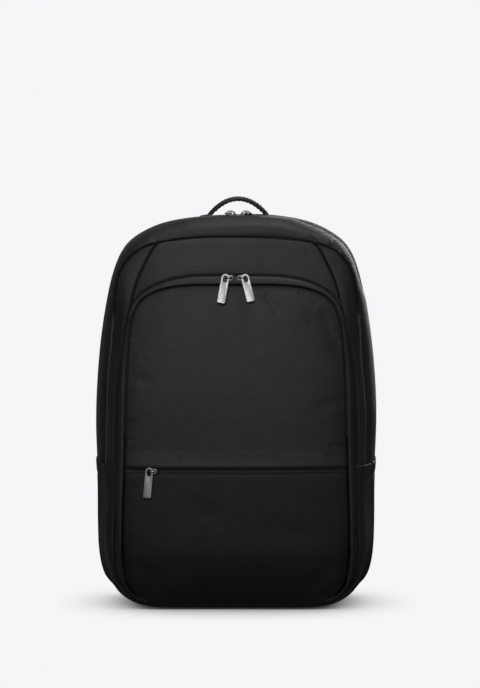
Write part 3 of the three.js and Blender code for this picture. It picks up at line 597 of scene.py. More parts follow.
def repeated(name, shape, places, finish, body="bag"):
    """Copies of a small shape in one mesh. places: points, and the directions of X and Z there."""
    points, faces = shape
    where, along, out = (np.concatenate(parts)[:, None] for parts in zip(*places))
    side = np.cross(out, along)
    x, y, z = (points[None, :, k : k + 1] for k in range(3))
    turned = (where + x * along + y * side + z * out).reshape(-1, 3)
    starts = range(0, len(turned), len(points))
    copies = [tuple(start + i for i in face) for start in starts for face in faces]
    return mesh_object(name, turned, copies, finish, body=body, angle=None, join=False)


# Materials


def new_material(name, color, roughness, metallic=0.0, **sockets):
    """A material's nodes, its links and its shader, with the even values set on the shader."""
    made = bpy.data.materials.new(name)
    made.use_nodes = True
    shader = made.node_tree.nodes["Principled BSDF"]
    shader.inputs["Base Color"].default_value = (*color, 1)
    shader.inputs["Roughness"].default_value = roughness
    shader.inputs["Metallic"].default_value = metallic
    for socket, value in sockets.items():
        shader.inputs[socket.replace("_", " ")].default_value = value
    return made, made.node_tree, shader


def node(tree, kind, operation=None, **values):
    """A shader node with its inputs linked or set. They go by name, or by place as i0, i1, i2."""
    made = tree.nodes.new("ShaderNode" + kind)
    if operation:
        made.operation = operation
    for name, value in values.items():
        by_place = name[0] == "i" and name[1:].isdigit()
        socket = made.inputs[int(name[1:]) if by_place else name.replace("_", " ")]
        if isinstance(value, bpy.types.NodeSocket):
            tree.links.new(value, socket)
        else:
            socket.default_value = value
    return made


def cloth_place(tree):
    """The place on the cloth in metres, along and across it."""
    made = tree.nodes.new("ShaderNodeUVMap")
    made.uv_map = "cloth"
    return made.outputs["UV"]


def object_place(tree):
    return tree.nodes.new("ShaderNodeTexCoord").outputs["Object"]


def waves(tree, place, period, direction, profile="SIN"):
    """Even waves of that period in metres."""
    made = node(tree, "TexWave", Vector=place, Scale=math.pi / 10 / period)
    made.bands_direction = direction
    made.wave_profile = profile
    return made.outputs["Fac"]


def noise(tree, place, size, detail=3.0, roughness=0.5):
    made = node(tree, "TexNoise", Vector=place, Scale=1 / size, Detail=detail, Roughness=roughness)
    return made.outputs["Fac"]


def maths(tree, operation, a, b=0.0):
    return node(tree, "Math", operation, i0=a, i1=b).outputs[0]


def weighted(tree, *pairs):
    """The sum of some values, each times its weight."""
    total, *others = (maths(tree, "MULTIPLY", value, weight) for value, weight in pairs)
    for part in others:
        total = maths(tree, "ADD", total, part)
    return total


def between(tree, factor, low, high, out_low, out_high):
    """A value moved from one range to another."""
    made = node(tree, "MapRange", Value=factor, i1=low, i2=high, i3=out_low, i4=out_high)
    return made.outputs[0]


def shade(tree, shader, factor, dark, light):
    """Gives the shader a colour between two, by a factor from 0 to 1."""
    made = tree.nodes.new("ShaderNodeMix")
    made.data_type = "RGBA"
    tree.links.new(factor, made.inputs[0])
    made.inputs[6].default_value = (*dark, 1)
    made.inputs[7].default_value = (*light, 1)
    tree.links.new(made.outputs[2], shader.inputs["Base Color"])


def scaled(tree, place, *scale):
    return node(tree, "Mapping", Vector=place, Scale=scale).outputs[0]


def relief(tree, shader, *layers):
    """Bumps one on another. Each layer is a height from 0 to 1, its depth in metres and its
    strength."""
    normal = None
    for height, depth, strength in layers:
        made = node(tree, "Bump", Height=height, Distance=depth, Strength=strength)
        if normal:
            tree.links.new(normal, made.inputs["Normal"])
        normal = made.outputs["Normal"]
    tree.links.new(normal, shader.inputs["Normal"])


def plain_weave(tree, place, pitch):
    warp = waves(tree, place, 2 * pitch, "X")
    weft = waves(tree, place, 2 * pitch, "Y")
    return maths(tree, "ABSOLUTE", maths(tree, "SUBTRACT", warp, weft))


def woven_nylon(name, dark, light, roughness, sheen):
    """Coated nylon: a fine plain weave, faint slubs and soft clouds of lighter and darker cloth."""
    made, tree, shader = new_material(
        name, light, roughness, Sheen_Weight=sheen, Sheen_Roughness=0.45, Specular_IOR_Level=0.42
    )
    place = cloth_place(tree)
    clouds = noise(tree, object_place(tree), 45 * MM, detail=4)
    threads = noise(tree, scaled(tree, place, 1, 14, 1), 9 * MM, detail=2)
    weave = plain_weave(tree, place, 0.55 * MM)
    mixed = weighted(tree, (clouds, 0.6), (threads, 0.25), (weave, 0.25))
    shade(tree, shader, between(tree, mixed, 0.3, 0.8, 0, 1), dark, light)
    grain = noise(tree, place, 3 * MM, detail=3)
    rough = between(tree, grain, 0.3, 0.7, roughness - 0.05, roughness + 0.06)
    tree.links.new(rough, shader.inputs["Roughness"])
    crumple = noise(tree, object_place(tree), 16 * MM, detail=3, roughness=0.55)
    relief(tree, shader, (crumple, 1.1 * MM, 0.6), (grain, 0.08 * MM, 0.5), (weave, 0.12 * MM, 0.7))
    return made


def twill_tape(name, dark, light, roughness=0.6):
    """Zip tape: a close diagonal twill."""
    made, tree, shader = new_material(name, light, roughness, Sheen_Weight=0.3, Sheen_Roughness=0.4)
    place = cloth_place(tree)
    twill = waves(tree, place, 0.9 * MM, "DIAGONAL")
    cross = waves(tree, place, 0.5 * MM, "Y")
    height = weighted(tree, (twill, 0.7), (cross, 0.3))
    shade(tree, shader, height, dark, light)
    relief(tree, shader, (height, 0.15 * MM, 0.8))
    return made


def ribbed_webbing(name, dark, light):
    """Woven webbing: ribs along its length that the cross threads break up."""
    made, tree, shader = new_material(name, light, 0.62, Sheen_Weight=0.35, Sheen_Roughness=0.4)
    place = cloth_place(tree)
    along = waves(tree, place, 1.5 * MM, "X")
    across = waves(tree, place, 2.1 * MM, "Y")
    chevron = waves(tree, place, 1.2 * MM, "DIAGONAL")
    ribs = maths(tree, "MULTIPLY", across, between(tree, along, 0, 1, 0.55, 1))
    height = weighted(tree, (ribs, 0.75), (chevron, 0.25))
    fuzz = noise(tree, place, 1.2 * MM, detail=2)
    tone = maths(tree, "MULTIPLY", height, between(tree, fuzz, 0.2, 0.8, 0.7, 1))
    shade(tree, shader, tone, dark, light)
    relief(tree, shader, (height, 0.35 * MM, 0.8), (fuzz, 0.05 * MM, 0.5))
    return made


def spacer_mesh(name, dark, light):
    """Padded mesh: round holes in a soft knit."""
    made, tree, shader = new_material(name, light, 0.75, Sheen_Weight=0.5, Sheen_Roughness=0.5)
    place = scaled(tree, cloth_place(tree), 1 / (3.2 * MM), 1 / (2.6 * MM), 1)
    holes = node(tree, "TexVoronoi", Vector=place, Scale=1.0, Randomness=0.25)
    holes.voronoi_dimensions = "2D"
    rim = between(tree, holes.outputs["Distance"], 0.16, 0.42, 0, 1)
    knit = waves(tree, cloth_place(tree), 0.5 * MM, "Y")
    shade(tree, shader, rim, dark, light)
    relief(tree, shader, (rim, 0.9 * MM, 0.8), (knit, 0.08 * MM, 0.5))
    return made


def grained_leather(name, dark, light):
    """Leather-like cloth: pebbles with fine creases between them, and patches a little worn."""
    made, tree, shader = new_material(name, light, 0.42, Specular_IOR_Level=0.5, Coat_Weight=0.08)
    place = object_place(tree)
    pebbles = node(tree, "TexVoronoi", Vector=place, Scale=1 / (1.3 * MM))
    pebbles.feature = "DISTANCE_TO_EDGE"
    crease = between(tree, pebbles.outputs["Distance"], 0, 0.22, 0, 1)
    wear = noise(tree, place, 11 * MM, detail=4)
    shade(tree, shader, maths(tree, "MULTIPLY", crease, wear), dark, light)
    tree.links.new(between(tree, wear, 0.3, 0.7, 0.36, 0.52), shader.inputs["Roughness"])
    relief(tree, shader, (crease, 0.22 * MM, 0.7), (wear, 0.5 * MM, 0.3))
    return made


def moulded_plastic(name, color):
    made, tree, shader = new_material(name, color, 0.36, Specular_IOR_Level=0.5)
    place = object_place(tree)
    spark = noise(tree, place, 0.7 * MM, detail=3)
    flow = noise(tree, place, 14 * MM, detail=2)
    tree.links.new(between(tree, flow, 0.3, 0.7, 0.3, 0.44), shader.inputs["Roughness"])
    relief(tree, shader, (spark, 0.04 * MM, 0.6))
    return made


def polished_metal(name, dark, light):
    """Nickel with fine brushing and a few dull smudges."""
    made, tree, shader = new_material(name, light, 0.4, metallic=1.0)
    place = object_place(tree)
    smudge = noise(tree, place, 5 * MM, detail=4)
    brushing = noise(tree, scaled(tree, place, 1, 1, 0.06), 0.25 * MM, detail=2)
    tree.links.new(between(tree, smudge, 0.35, 0.7, 0.36, 0.5), shader.inputs["Roughness"])
    shade(tree, shader, smudge, dark, light)
    relief(tree, shader, (brushing, 0.02 * MM, 0.5))
    return made


def thread_material(name, color):
    made, tree, shader = new_material(name, color, 0.5, Sheen_Weight=0.4)
    twist = noise(tree, object_place(tree), 0.4 * MM, detail=2)
    relief(tree, shader, (twist, 0.1 * MM, 0.7))
    return made


NYLON = woven_nylon("nylon", (0.009, 0.009, 0.0092), (0.019, 0.019, 0.0192), 0.5, 0.05)
# A darker copy of the nylon for the lower panel: partly its own darker cloth and partly painted
# shade on the lower front.
LOWER_NYLON_AND_SHADE = woven_nylon("lower_nylon", (0.003, 0.003, 0.003), (0.0068, 0.0068, 0.0069), 0.58, 0.02)
# A lighter copy of the nylon for the main seam's welt: a painted highlight on the ridge that
# catches the light.
SEAM_HIGHLIGHT = woven_nylon("seam_highlight_nylon", (0.03, 0.03, 0.0305), (0.07, 0.07, 0.071), 0.4, 0.2)
# Near-black nylon for the tubes in the seam grooves: painted shade.
SEAM_SHADE = woven_nylon("seam_shade_nylon", (0.001, 0.001, 0.001), (0.002, 0.002, 0.002), 0.85, 0.0)
TAPE_CLOTH = twill_tape("zip_tape", (0.012, 0.012, 0.012), (0.036, 0.036, 0.037))
# Black zip tape seen through the gaps beside the door and the pocket slot, darkened further as
# painted shade in those gaps.
SHADED_TAPE = twill_tape("tape_painted_shade", (0.004, 0.004, 0.004), (0.009, 0.009, 0.009))
BINDING = twill_tape("binding", (0.008, 0.008, 0.008), (0.022, 0.022, 0.022))
WEBBING = ribbed_webbing("webbing", (0.006, 0.006, 0.006), (0.026, 0.026, 0.026))
MESH = spacer_mesh("mesh_pad", (0.003, 0.003, 0.003), (0.026, 0.026, 0.027))
LEATHER = grained_leather("leatherette", (0.01, 0.01, 0.01), (0.036, 0.036, 0.037))
PLASTIC = moulded_plastic("buckle", (0.013, 0.013, 0.013))
# Coil plastic a little lighter than the buckle's: partly its own grey and partly a painted
# highlight of the zip's shine.
COIL = moulded_plastic("coil", (0.03, 0.03, 0.031))
METAL = polished_metal("polished_metal", (0.3, 0.298, 0.295), (0.4, 0.4, 0.397))
# A darker copy of the metal for the slider plates: painted shade, so that only the bridges glint.
SHADED_METAL = polished_metal("metal_painted_shade", (0.02, 0.02, 0.02), (0.05, 0.05, 0.05))
THREAD = thread_material("thread", (0.03, 0.03, 0.031))


# The main compartment

RING_COUNT = 420
# The shoulder seam's gathers, as shares of the way round the bag
GATHER_PITCH = 8.3e-3
GATHER_DRIFT = 29e-3
SHEET = 1.6 * MM
CALM_REACH = 14 * MM
TUCK_RIGHT = 2.3 * MM
TUCK_LEFT = 2.2 * MM
SWELL = unevenness(3, 95 * MM)
RIPPLE = unevenness(11, 30 * MM)


def soften(grid, hold, amount=1.4 * MM, fine=0.35 * MM, loop=False):
    """Lets cloth swell and sink a little along its normals. hold is 0 where a seam keeps it."""
    depth = amount * SWELL(grid) + fine * RIPPLE(grid)
    return grid + normals_of(grid, loop) * (depth * hold)[..., None]


def hem_profile(start, way, steps):
    """Depths and insets of cloth that rolls under at a zip: way is 1 backwards or -1 forwards."""
    rolled = [(0.5, 1.3), (0.1, 0.8), (0, 0.35), (0.4, 0), (1.4, -0.25), (3, -0.3)]
    return [(start + way * d * MM, inset * MM) for d, inset in rolled] + steps


def calm_under_pockets(z):
    """0 where a side pocket lies on the cloth, 1 above it."""
    return ramp((z - POCKET_TOP - 2 * MM) / CALM_REACH)


def shoulder_tuck(t):
    """How far the front shell draws in at the shoulders, where the zip shows beyond it."""
    p = body_rail(t)
    right = p[:, 0] > 0
    high = ramp((p[:, 2] / HEIGHT - np.where(right, 0.78, 0.88)) / 0.06)
    beside = ramp((np.abs(p[:, 0]) - 60 * MM) / (24 * MM))
    return np.where(right, TUCK_RIGHT, TUCK_LEFT) * high * beside


def rear_bend(angle):
    """The depth and the inset of the rear edge, at an angle round its bend."""
    depth = REAR_DEPTH - REAR_EDGE_RADIUS + REAR_EDGE_RADIUS * math.sin(angle)
    return depth, REAR_EDGE_RADIUS * (1 - math.cos(angle))


def rear_shell():
    t = ring(RING_COUNT)
    straight = np.linspace(25 * MM, REAR_DEPTH - REAR_EDGE_RADIUS, 9)
    profile = hem_profile(ZIP_REAR + GAP, 1, [(y, 0.0) for y in straight])
    profile += [rear_bend(angle) for angle in np.linspace(0, math.pi / 2, 12)[1:]]
    rows = [body_point(t, inset, depth) for depth, inset in profile]
    centre = np.array([0, REAR_DEPTH, HEIGHT / 2])
    rim = rows[-1] - centre
    rows += [centre + rim * share for share in (0.97, 0.9, 0.78, 0.62, 0.45, 0.28, 0.12)]
    grid = np.array(rows)
    hold = np.zeros(grid.shape[:2])
    for i, (depth, _) in enumerate(profile):
        beyond_zip = ramp((depth - ZIP_REAR - 2 * MM) / CALM_REACH)
        hold[i] = beyond_zip * ramp((REAR_DEPTH - 2 * MM - depth) / CALM_REACH)
    grid = soften(grid, hold * calm_under_pockets(grid[..., 2]), loop=True)
    piece = cloth_sheet("rear_shell_cloth", grid, SHEET, NYLON, loop=True, centre=centre)
    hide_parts("rear_shell")


def front_seam_groove(t):
    """The bottom of the groove between the main compartment and the front one."""
    p = seam_rail(t)
    return p - outward(p) * 3.5 * MM - [0, 0.6 * MM, 0]


def front_shell():
    t = ring(RING_COUNT)
    rim = ZIP_FRONT - GAP
    tuck = shoulder_tuck(t)
    start = body_point(t, tuck, rim)
    end = seam_rail(t)
    rows = [body_point(t, inset + tuck, depth) for depth, inset in hem_profile(rim, -1, [])]
    shares = np.linspace(0, 1, 26)
    rows += [rounded(start, end, share) for share in shares[shares > 0.09]]
    grid = np.array(rows)
    shell = np.linspace(0, 1, len(grid))[:, None]
    hold = ramp(shell / 0.35) * ramp((1 - shell) / 0.3) * calm_under_pockets(grid[..., 2])
    grid = soften(grid, hold, amount=1.0 * MM, loop=True)
    upper = ramp((grid[..., 2] - 0.7 * HEIGHT) / (0.1 * HEIGHT)) * ramp(shell / 0.3)
    grid[..., 1] += fold_depth(grid) * upper
    grid[..., 2] -= 0.4 * fold_depth(grid) * upper
    beside = ramp((np.abs(grid[..., 0]) - 50 * MM) / (30 * MM))
    shoulder = beside * ramp((grid[..., 2] / HEIGHT - 0.62) / 0.12)
    turns = t * 2 * math.pi
    gathers = np.sin(turns / GATHER_PITCH + 2 * np.sin(turns / GATHER_DRIFT))
    gathers = 0.55 * MM * gathers[None] * bump(1 - shell, 0.24) * ramp((1 - shell) / 0.05)
    grid += normals_of(grid, True) * (gathers * shoulder)[..., None]
    last = grid[-1:]
    roll = last + [0, 0.9 * MM, 0] - outward(last) * 0.9 * MM
    groove = front_seam_groove(t)[None]
    deeper = groove - outward(groove) * 12 * MM
    grid = np.vstack([grid, roll, groove, deeper])
    centre = np.array([0, groove[0, len(t) // 2, 1], HEIGHT / 2])
    piece = cloth_sheet("front_shell_cloth", grid, SHEET, NYLON, loop=True, centre=centre)
    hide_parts("front_shell")


def zip_teeth(name, path, normal, long, body="bag"):
    """A closed coil zip along a path."""
    shape = bead(long, 0.95 * MM, 1.2 * MM, sides=5)
    point, way, out = at_steps(path, normal, COIL_PITCH)
    across = np.cross(out, way)
    return repeated(name, shape, [(point, across, out)], COIL, body=body)


def zip_depth(share):
    return ZIP_FRONT + share * (ZIP_REAR - ZIP_FRONT)


def main_zip():
    start = rail_at(body_rail, ZIP_END)
    t = spaced(body_rail, start, 1 - start, 520)
    tuck = shoulder_tuck(t)
    rows = []
    for share in np.linspace(0, 1, 15):
        ridge = 0.5 * MM * bump(share - 0.5, 0.16) - 0.35 * MM * bump(share - 0.5, 0.035)
        rows.append(body_point(t, TAPE_INSET - ridge + tuck * (1 - share), zip_depth(share)))
    piece = cloth_sheet("main_zip_tape", np.array(rows), TAPE, TAPE_CLOTH)
    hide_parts("main_zip")
    path = body_point(t, TAPE_INSET - 0.1 * MM + tuck / 2, zip_depth(0.5))
    out = unit(path - body_point(t, 5 * MM, zip_depth(0.5)))
    teeth = zip_teeth("main_zip_coil", path, out, 3.6 * MM)


def base_gusset():
    end = rail_at(body_rail, ZIP_END - 1 * MM)
    t = spaced(body_rail, -end, end, 300)
    rows = [
        body_point(t, 0.1 * MM + 0.5 * MM * bump(share - 0.5, 0.6), zip_depth(share))
        for share in np.linspace(0, 1, 8)
    ]
    piece = cloth_sheet("base_gusset_cloth", np.array(rows), SHEET, NYLON)
    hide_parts("base_gusset")


def rear_piping():
    """A welt where the rear gusset meets the back panel."""
    depth, inset = rear_bend(math.radians(52))
    path = body_point(ring(RING_COUNT), inset, depth)
    path[:, 2] = np.maximum(path[:, 2], 1.8 * MM)
    piece = tube("rear_piping", path, 1.7 * MM, NYLON, closed=True, sides=10)


def main_seam():
    """The pinched seam in front of the main compartment: thin on the sides, sunk at the top."""
    path = seam_rail(ring(RING_COUNT))
    high = ramp((path[:, 2] / HEIGHT - 0.7) / 0.08)
    low = ramp(path[:, 2] / (25 * MM))
    path += outward(path) * (0.5 * MM * (1 - high) * low - 3.6 * MM * high)[:, None]
    path[:, 1] -= 0.4 * MM
    path[:, 2] = np.maximum(path[:, 2], 1.3 * MM)
    path += outward(path) * (0.5 * MM * RIPPLE(path))[:, None]
    # The welt's lighter nylon is a painted highlight on the seam's ridge.
    piece = tube("main_seam_welt", path, 0.9 * MM, SEAM_HIGHLIGHT, closed=True)


# The front compartment

GUSSET_TOP = (len(STATIONS) - 1 - 3.2) / (2 * (len(STATIONS) - 1))


def front_gusset():
    t = spaced(seam_rail, -GUSSET_TOP, GUSSET_TOP, 460)
    seam, edge = seam_rail(t), edge_rail(t)
    start = seam + (edge - seam) * 0.06
    start[:, 1] = seam[:, 1] - GAP
    end = edge.copy()
    end[:, 1] = np.minimum(edge[:, 1] + WALL + GAP, start[:, 1] - GAP)
    across = np.linspace(0, 1, 30)[:, None]
    grid = np.array([
        rounded(start, end, share) * 0.55 + (start + (end - start) * share) * 0.45
        for share in across[:, 0]
    ])
    up = grid[..., 2]
    side = ramp((up - 16 * MM) / (40 * MM)) * ramp((0.86 * HEIGHT - up) / (0.2 * HEIGHT))
    hold = ramp(across / 0.2) * ramp((1 - across) / 0.12) * ramp(up / (24 * MM))
    place = across - 0.05 * SWELL(grid)
    crease = 0.9 * MM * bump(place - 0.5, 0.12) - 0.6 * MM * bump(place - 0.2, 0.1)
    grid = grid - normals_of(grid) * (crease * side * hold)[..., None]
    grid = soften(grid, hold, amount=1.0 * MM)
    tucked = grid[-1:] - outward(grid[-1:]) * 2.5 * MM
    under = grid[:1] - outward(grid[:1]) * 2 * MM + [0, 0.5 * MM, 0]
    grid = np.vstack([under, grid, tucked])
    piece = cloth_sheet("front_gusset_cloth", grid, 1.4 * MM, NYLON)
    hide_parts("front_gusset")


def on_face(x, z, rise):
    """Points of X and Z that stand off the face by rise."""
    return np.stack([x, face_y(x, z) - rise, z], axis=-1)


def front_unevenness(grid, amount=0.7 * MM):
    """The folds and swells that the whole front shares."""
    calm = ramp((np.hypot(grid[..., 0], grid[..., 2] - 0.85 * HEIGHT) - 12 * MM) / (30 * MM))
    grid = grid.copy()
    grid[..., 1] += fold_depth(grid) + amount * SWELL(grid * [1, 0, 1]) * calm
    return grid


def front_sheet(name, x, z, rise, thick, finish):
    """A sheet of cloth that stands off the face by rise."""
    grid = front_unevenness(on_face(x, z, rise))
    return cloth_sheet(name, grid, thick, finish, inward=(0, 1, 0))


def sheet_between(low, high, count):
    """X and Z of a grid between two lines of points, and each row's share of the way."""
    share = np.linspace(0, 1, count)[:, None]
    flat = low[None] + (high - low)[None] * share[..., None]
    return flat[..., 0], flat[..., 1], share


def level_line(start, end, z, count):
    """Points of X and Z at one height."""
    return np.stack([np.linspace(start, end, count), np.full(count, z)], axis=1)


DOOR_LINE = np.vstack([beside_door(-DOOR_SHARES[::-25], 0), beside_door(DOOR_SHARES[::25], 0)])
DOOR_LENGTH = lengths_along(DOOR_LINE)[-1]
EDGE_LINE = edge_rail(np.linspace(0, 1, 401))[:, [0, 2]]
EDGE_LENGTH = lengths_along(EDGE_LINE)[-1]


def above_flap(s):
    """The yoke's lower edge, beside the flap."""
    return beside_door(s, flap_width_at(s) + 0.8 * GAP)


def yoke():
    s = np.linspace(0, 0.5, 4001)
    low = above_flap(s)
    room = edge_half_width(low[:, 1]) - low[:, 0]
    end = s[np.argmax(room < YOKE_TIP)]
    edge_end = rail_at(edge_rail, above_flap(end)[0, 1] + YOKE_TIP * 0.7)
    u = np.linspace(-1, 1, 201)
    lower = above_flap(u * end)
    upper = edge_rail(0.5 - u * (0.5 - edge_end))[:, [0, 2]]
    upper[:, 1] -= 1.5 * GAP
    x, z, _ = sheet_between(lower, upper, 46)
    valley = z - lower[None, :, 1]
    from_edge, place = distance_to(EDGE_LINE, x, z)
    rise = -1.5 * MM * bump(valley, 1.8 * MM) - 0.9 * MM * bump(valley, 7 * MM)
    rise -= 3.2 * MM * fading(from_edge, 2.6 * MM, 1.8)
    rise += 0.6 * MM * bump(from_edge - 7 * MM, 5 * MM) + puckers(from_edge, place * EDGE_LENGTH)
    piece = front_sheet("yoke_cloth", x, z, rise, SHEET, NYLON)
    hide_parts("yoke")


def zip_flap():
    s = spaced(lambda q: np.sign(q)[:, None] * door_curve(np.abs(q)), -1, 1, 420)
    height = beside_door(s, 0)[:, 1]
    apart = 0.5 * ramp((np.abs(s) - 0.3) / 0.1) * (1 * MM + slot_open(height))
    apart = (0.2 * GAP + apart) * (1 - corner_closed(height))
    wide = flap_width_at(s)
    x, z, v = sheet_between(beside_door(s, apart), beside_door(s, wide), 12)
    broad = ramp((wide / FLAP_WIDTH - 0.4) / 0.3)
    crown = np.sin(np.pi * np.clip(0.18 + v * 0.9, 0, 1)) * (1.3 * MM)
    rise = FLAP_RISE + crown * (0.35 + 0.65 * broad)
    rise -= 1.6 * MM * fading(v, 0.12) + 1.7 * MM * fading(1 - v, 0.14)
    foot = ramp((z - 8 * MM) / (20 * MM))
    piece = front_sheet("zip_flap_cloth", x, z, rise * foot, 1.1 * MM, NYLON)
    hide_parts("zip_flap")


def patch_between(bottom, right, top, left):
    """X and Z of a grid that fits four edges. bottom and top run to +X, left and right upwards."""
    u = np.linspace(0, 1, len(bottom))[None, :, None]
    v = np.linspace(0, 1, len(left))[:, None, None]
    across = bottom[None] * (1 - v) + top[None] * v
    upwards = left[:, None] * (1 - u) + right[:, None] * u
    low = bottom[0] * (1 - u) + bottom[-1] * u
    high = top[0] * (1 - u) + top[-1] * u
    flat = across + upwards - low * (1 - v) - high * v
    return flat[..., 0], flat[..., 1]


# The door's sides end and its top begins at this share of its edge
SHOULDER = 0.3
SEAM_INSET = GAP + 0.6 * MM
SLOT_TOP = POCKET_ZIP + POCKET_SLOT / 2
SLOT_BOTTOM = POCKET_ZIP - POCKET_SLOT / 2


def slot_open(z):
    """How far the seam beside the door gapes near its lower corners."""
    return 1.7 * MM * bump(z - 62 * MM, 11 * MM) + 1.3 * MM * bump(z - 28 * MM, 11 * MM)


def corner_closed(z):
    """1 at the foot of the face, where the seams lie flat, and 0 above it."""
    return 1 - ramp((z - 9 * MM) / (8 * MM))


def share_at(z):
    """The share of the door's edge that reaches a height."""
    return np.interp(z, DOOR_POINTS[::-1, 1], DOOR_SHARES[::-1])


def painted_seam_shade():
    """Painted shade: near-black tubes at the bottom of the grooves round the face, beside the
    shoulders and over the flap, for the shadow in these seams.
    """
    path = edge_rail(ring(460))
    path = path + outward(path) * 0.5 * MM + [0, 1.3 * MM, 0]
    path[:, 1] += 3 * MM * corner_closed(path[:, 2])
    path[:, 2] = np.maximum(path[:, 2], 1.2 * MM)
    tube("face_seam_shade", path, 1 * MM, SEAM_SHADE, closed=True)
    low, high = (rail_at(seam_rail, share * HEIGHT) for share in (0.76, 0.94))
    for side, word in ((1, "right"), (-1, "left")):
        path = mirrored(seam_rail(np.linspace(low, high, 90)), side)
        path += outward(path) * 0.2 * MM + [0, -0.6 * MM, 0]
        radius = 1.25 * MM * np.sin(np.linspace(0.05, math.pi - 0.4, len(path))) ** 0.4
        tube("shoulder_seam_shade_" + word, path, radius, SEAM_SHADE)
    s = np.linspace(-0.53, 0.53, 300)
    line = beside_door(s, flap_width_at(s) + 0.5 * GAP)
    path = front_unevenness(on_face(line[:, 0], line[:, 1], -0.6 * MM))
    tube("flap_seam_shade", path, 0.75 * MM, SEAM_SHADE, outwards=(0, -1, 0))


def puckers(edge, along, reach=9 * MM):
    """Short gathers square to a seam: edge is the distance from it and along a distance down it."""
    turns = along * 2 * math.pi
    gathered = 0.5 + 0.5 * np.sin(turns / (61 * MM) + 1.3)
    ripple = np.sin(turns / (7.3 * MM) + 2 * np.sin(turns / (31 * MM)))
    ripple += 0.6 * np.sin(turns / (4.9 * MM) + 0.7)
    near = ramp(edge / (1.5 * MM)) * ramp((18 * MM - edge) / (8 * MM))
    return 0.26 * MM * ripple * gathered * np.exp(-edge / reach) * near


def door():
    up = np.linspace(share_at(SLOT_TOP), SHOULDER, 112)
    over = np.linspace(-SHOULDER, SHOULDER, 150)
    right, top, left = (beside_door(s, -SEAM_INSET) for s in (up, over, -up))
    bottom = level_line(left[0, 0], right[0, 0], SLOT_TOP, len(over))
    x, z = patch_between(bottom, right, top, left)
    edge, place = distance_to(DOOR_LINE, x, z)
    hem = z - SLOT_TOP
    rise = (DOOR_LIP + 0.8 * MM) * fading(hem, DOOR_LIP_REACH, 1)
    rise -= 2.4 * MM * fading(edge, 3 * MM, 1.8) + 1.2 * MM * bump(edge, 9 * MM)
    rise -= 1.4 * MM * fading(hem, 1.6 * MM) + 0.35 * MM * bump(hem - 6 * MM, 1.2 * MM)
    rise += puckers(edge, place * DOOR_LENGTH)
    piece = front_sheet("door_cloth", x, z, rise, SHEET, NYLON)
    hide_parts("door")


def lower_panel():
    up = np.linspace(0.985, share_at(SLOT_BOTTOM), 80)
    height = door_curve(up)[:, 1]
    inset = -SEAM_INSET * (1 - corner_closed(height)) - slot_open(height)
    right, left = beside_door(up, inset), beside_door(-up, inset)
    across = np.linspace(left[0, 0], right[0, 0], 150)
    shares = np.linspace(0, 0.12, 500)
    below = edge_rail(np.interp(np.abs(across), edge_rail(shares)[:, 0], shares))
    bottom = np.stack([across, below[:, 2] + GAP], axis=1)
    bottom[[0, -1]] = left[0], right[0]
    top = level_line(left[-1, 0], right[-1, 0], SLOT_BOTTOM, len(across))
    x, z = patch_between(bottom, right, top, left)
    edge, place = distance_to(DOOR_LINE, x, z)
    deep = 0.9 * MM + 1.8 * MM * bump(z - 52 * MM, 26 * MM)
    rise = -2.2 * MM * fading(edge, 3 * MM, 1.8) - deep * bump(edge, 8 * MM)
    rise *= 1 - corner_closed(z)
    rise -= 0.7 * MM * fading(SLOT_BOTTOM - z, 1.2 * MM)
    rise += puckers(edge, place * DOOR_LENGTH)
    piece = front_sheet("lower_panel_cloth", x, z, rise, SHEET, LOWER_NYLON_AND_SHADE)
    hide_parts("lower_panel")


def front_zip():
    s = np.linspace(-0.6, 0.6, 260)
    behind = WALL + 2 * GAP
    half = 5.5 * MM
    high = beside_door(s, np.minimum(half, flap_width_at(s) - behind))
    x, z, _ = sheet_between(beside_door(s, -half), high, 6)
    piece = front_sheet("front_zip_tape", x, z, -behind, TAPE, SHADED_TAPE)
    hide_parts("front_zip")


def pocket_zip():
    reach = door_half_width(POCKET_ZIP) - 1.5 * MM
    x = np.linspace(-reach, reach, 160)
    z = np.linspace(SLOT_BOTTOM - 3 * MM, SLOT_TOP + 3 * MM, 9)
    x, z = np.meshgrid(x, z)
    grid = on_face(x, z, -(WALL + GAP))
    piece = cloth_sheet("pocket_zip_tape", grid, TAPE, SHADED_TAPE, inward=(0, 1, 0))
    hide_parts("pocket_zip")
    x = np.linspace(-reach + 4 * MM, reach - 4 * MM, 200)
    path = on_face(x, np.full_like(x, POCKET_ZIP - 1.7 * MM), -0.6 * WALL)
    teeth = zip_teeth("pocket_zip_coil", path, (0, -1, 0), 3.4 * MM)


# Side pockets


def pocket_grid(v, share):
    """The side pocket's inner sheet, before it stands off: v runs up and share backwards."""
    turn = 0.7
    base = body_point(v, 0, ZIP_FRONT - GAP)
    seam, edge = seam_rail(v), edge_rail(v)
    edge[:, 1] += WALL + GAP
    if share < turn:
        stretched = rounded(base, edge, 1 - share / turn)
        ahead = 2 * share / turn
        if ahead < 1:
            laid = 0.55 * rounded(seam, edge, 1 - ahead) + 0.45 * (edge + (seam - edge) * ahead)
        else:
            laid = rounded(base, seam, 2 - ahead)
        free = ramp((base[:, 2:] - POCKET_FOOT) / (60 * MM))
        return laid + (stretched - laid) * free
    depth = base[0, 1] + (POCKET_BACK - base[0, 1]) * (share - turn) / (1 - turn)
    return body_point(v, 0, depth)


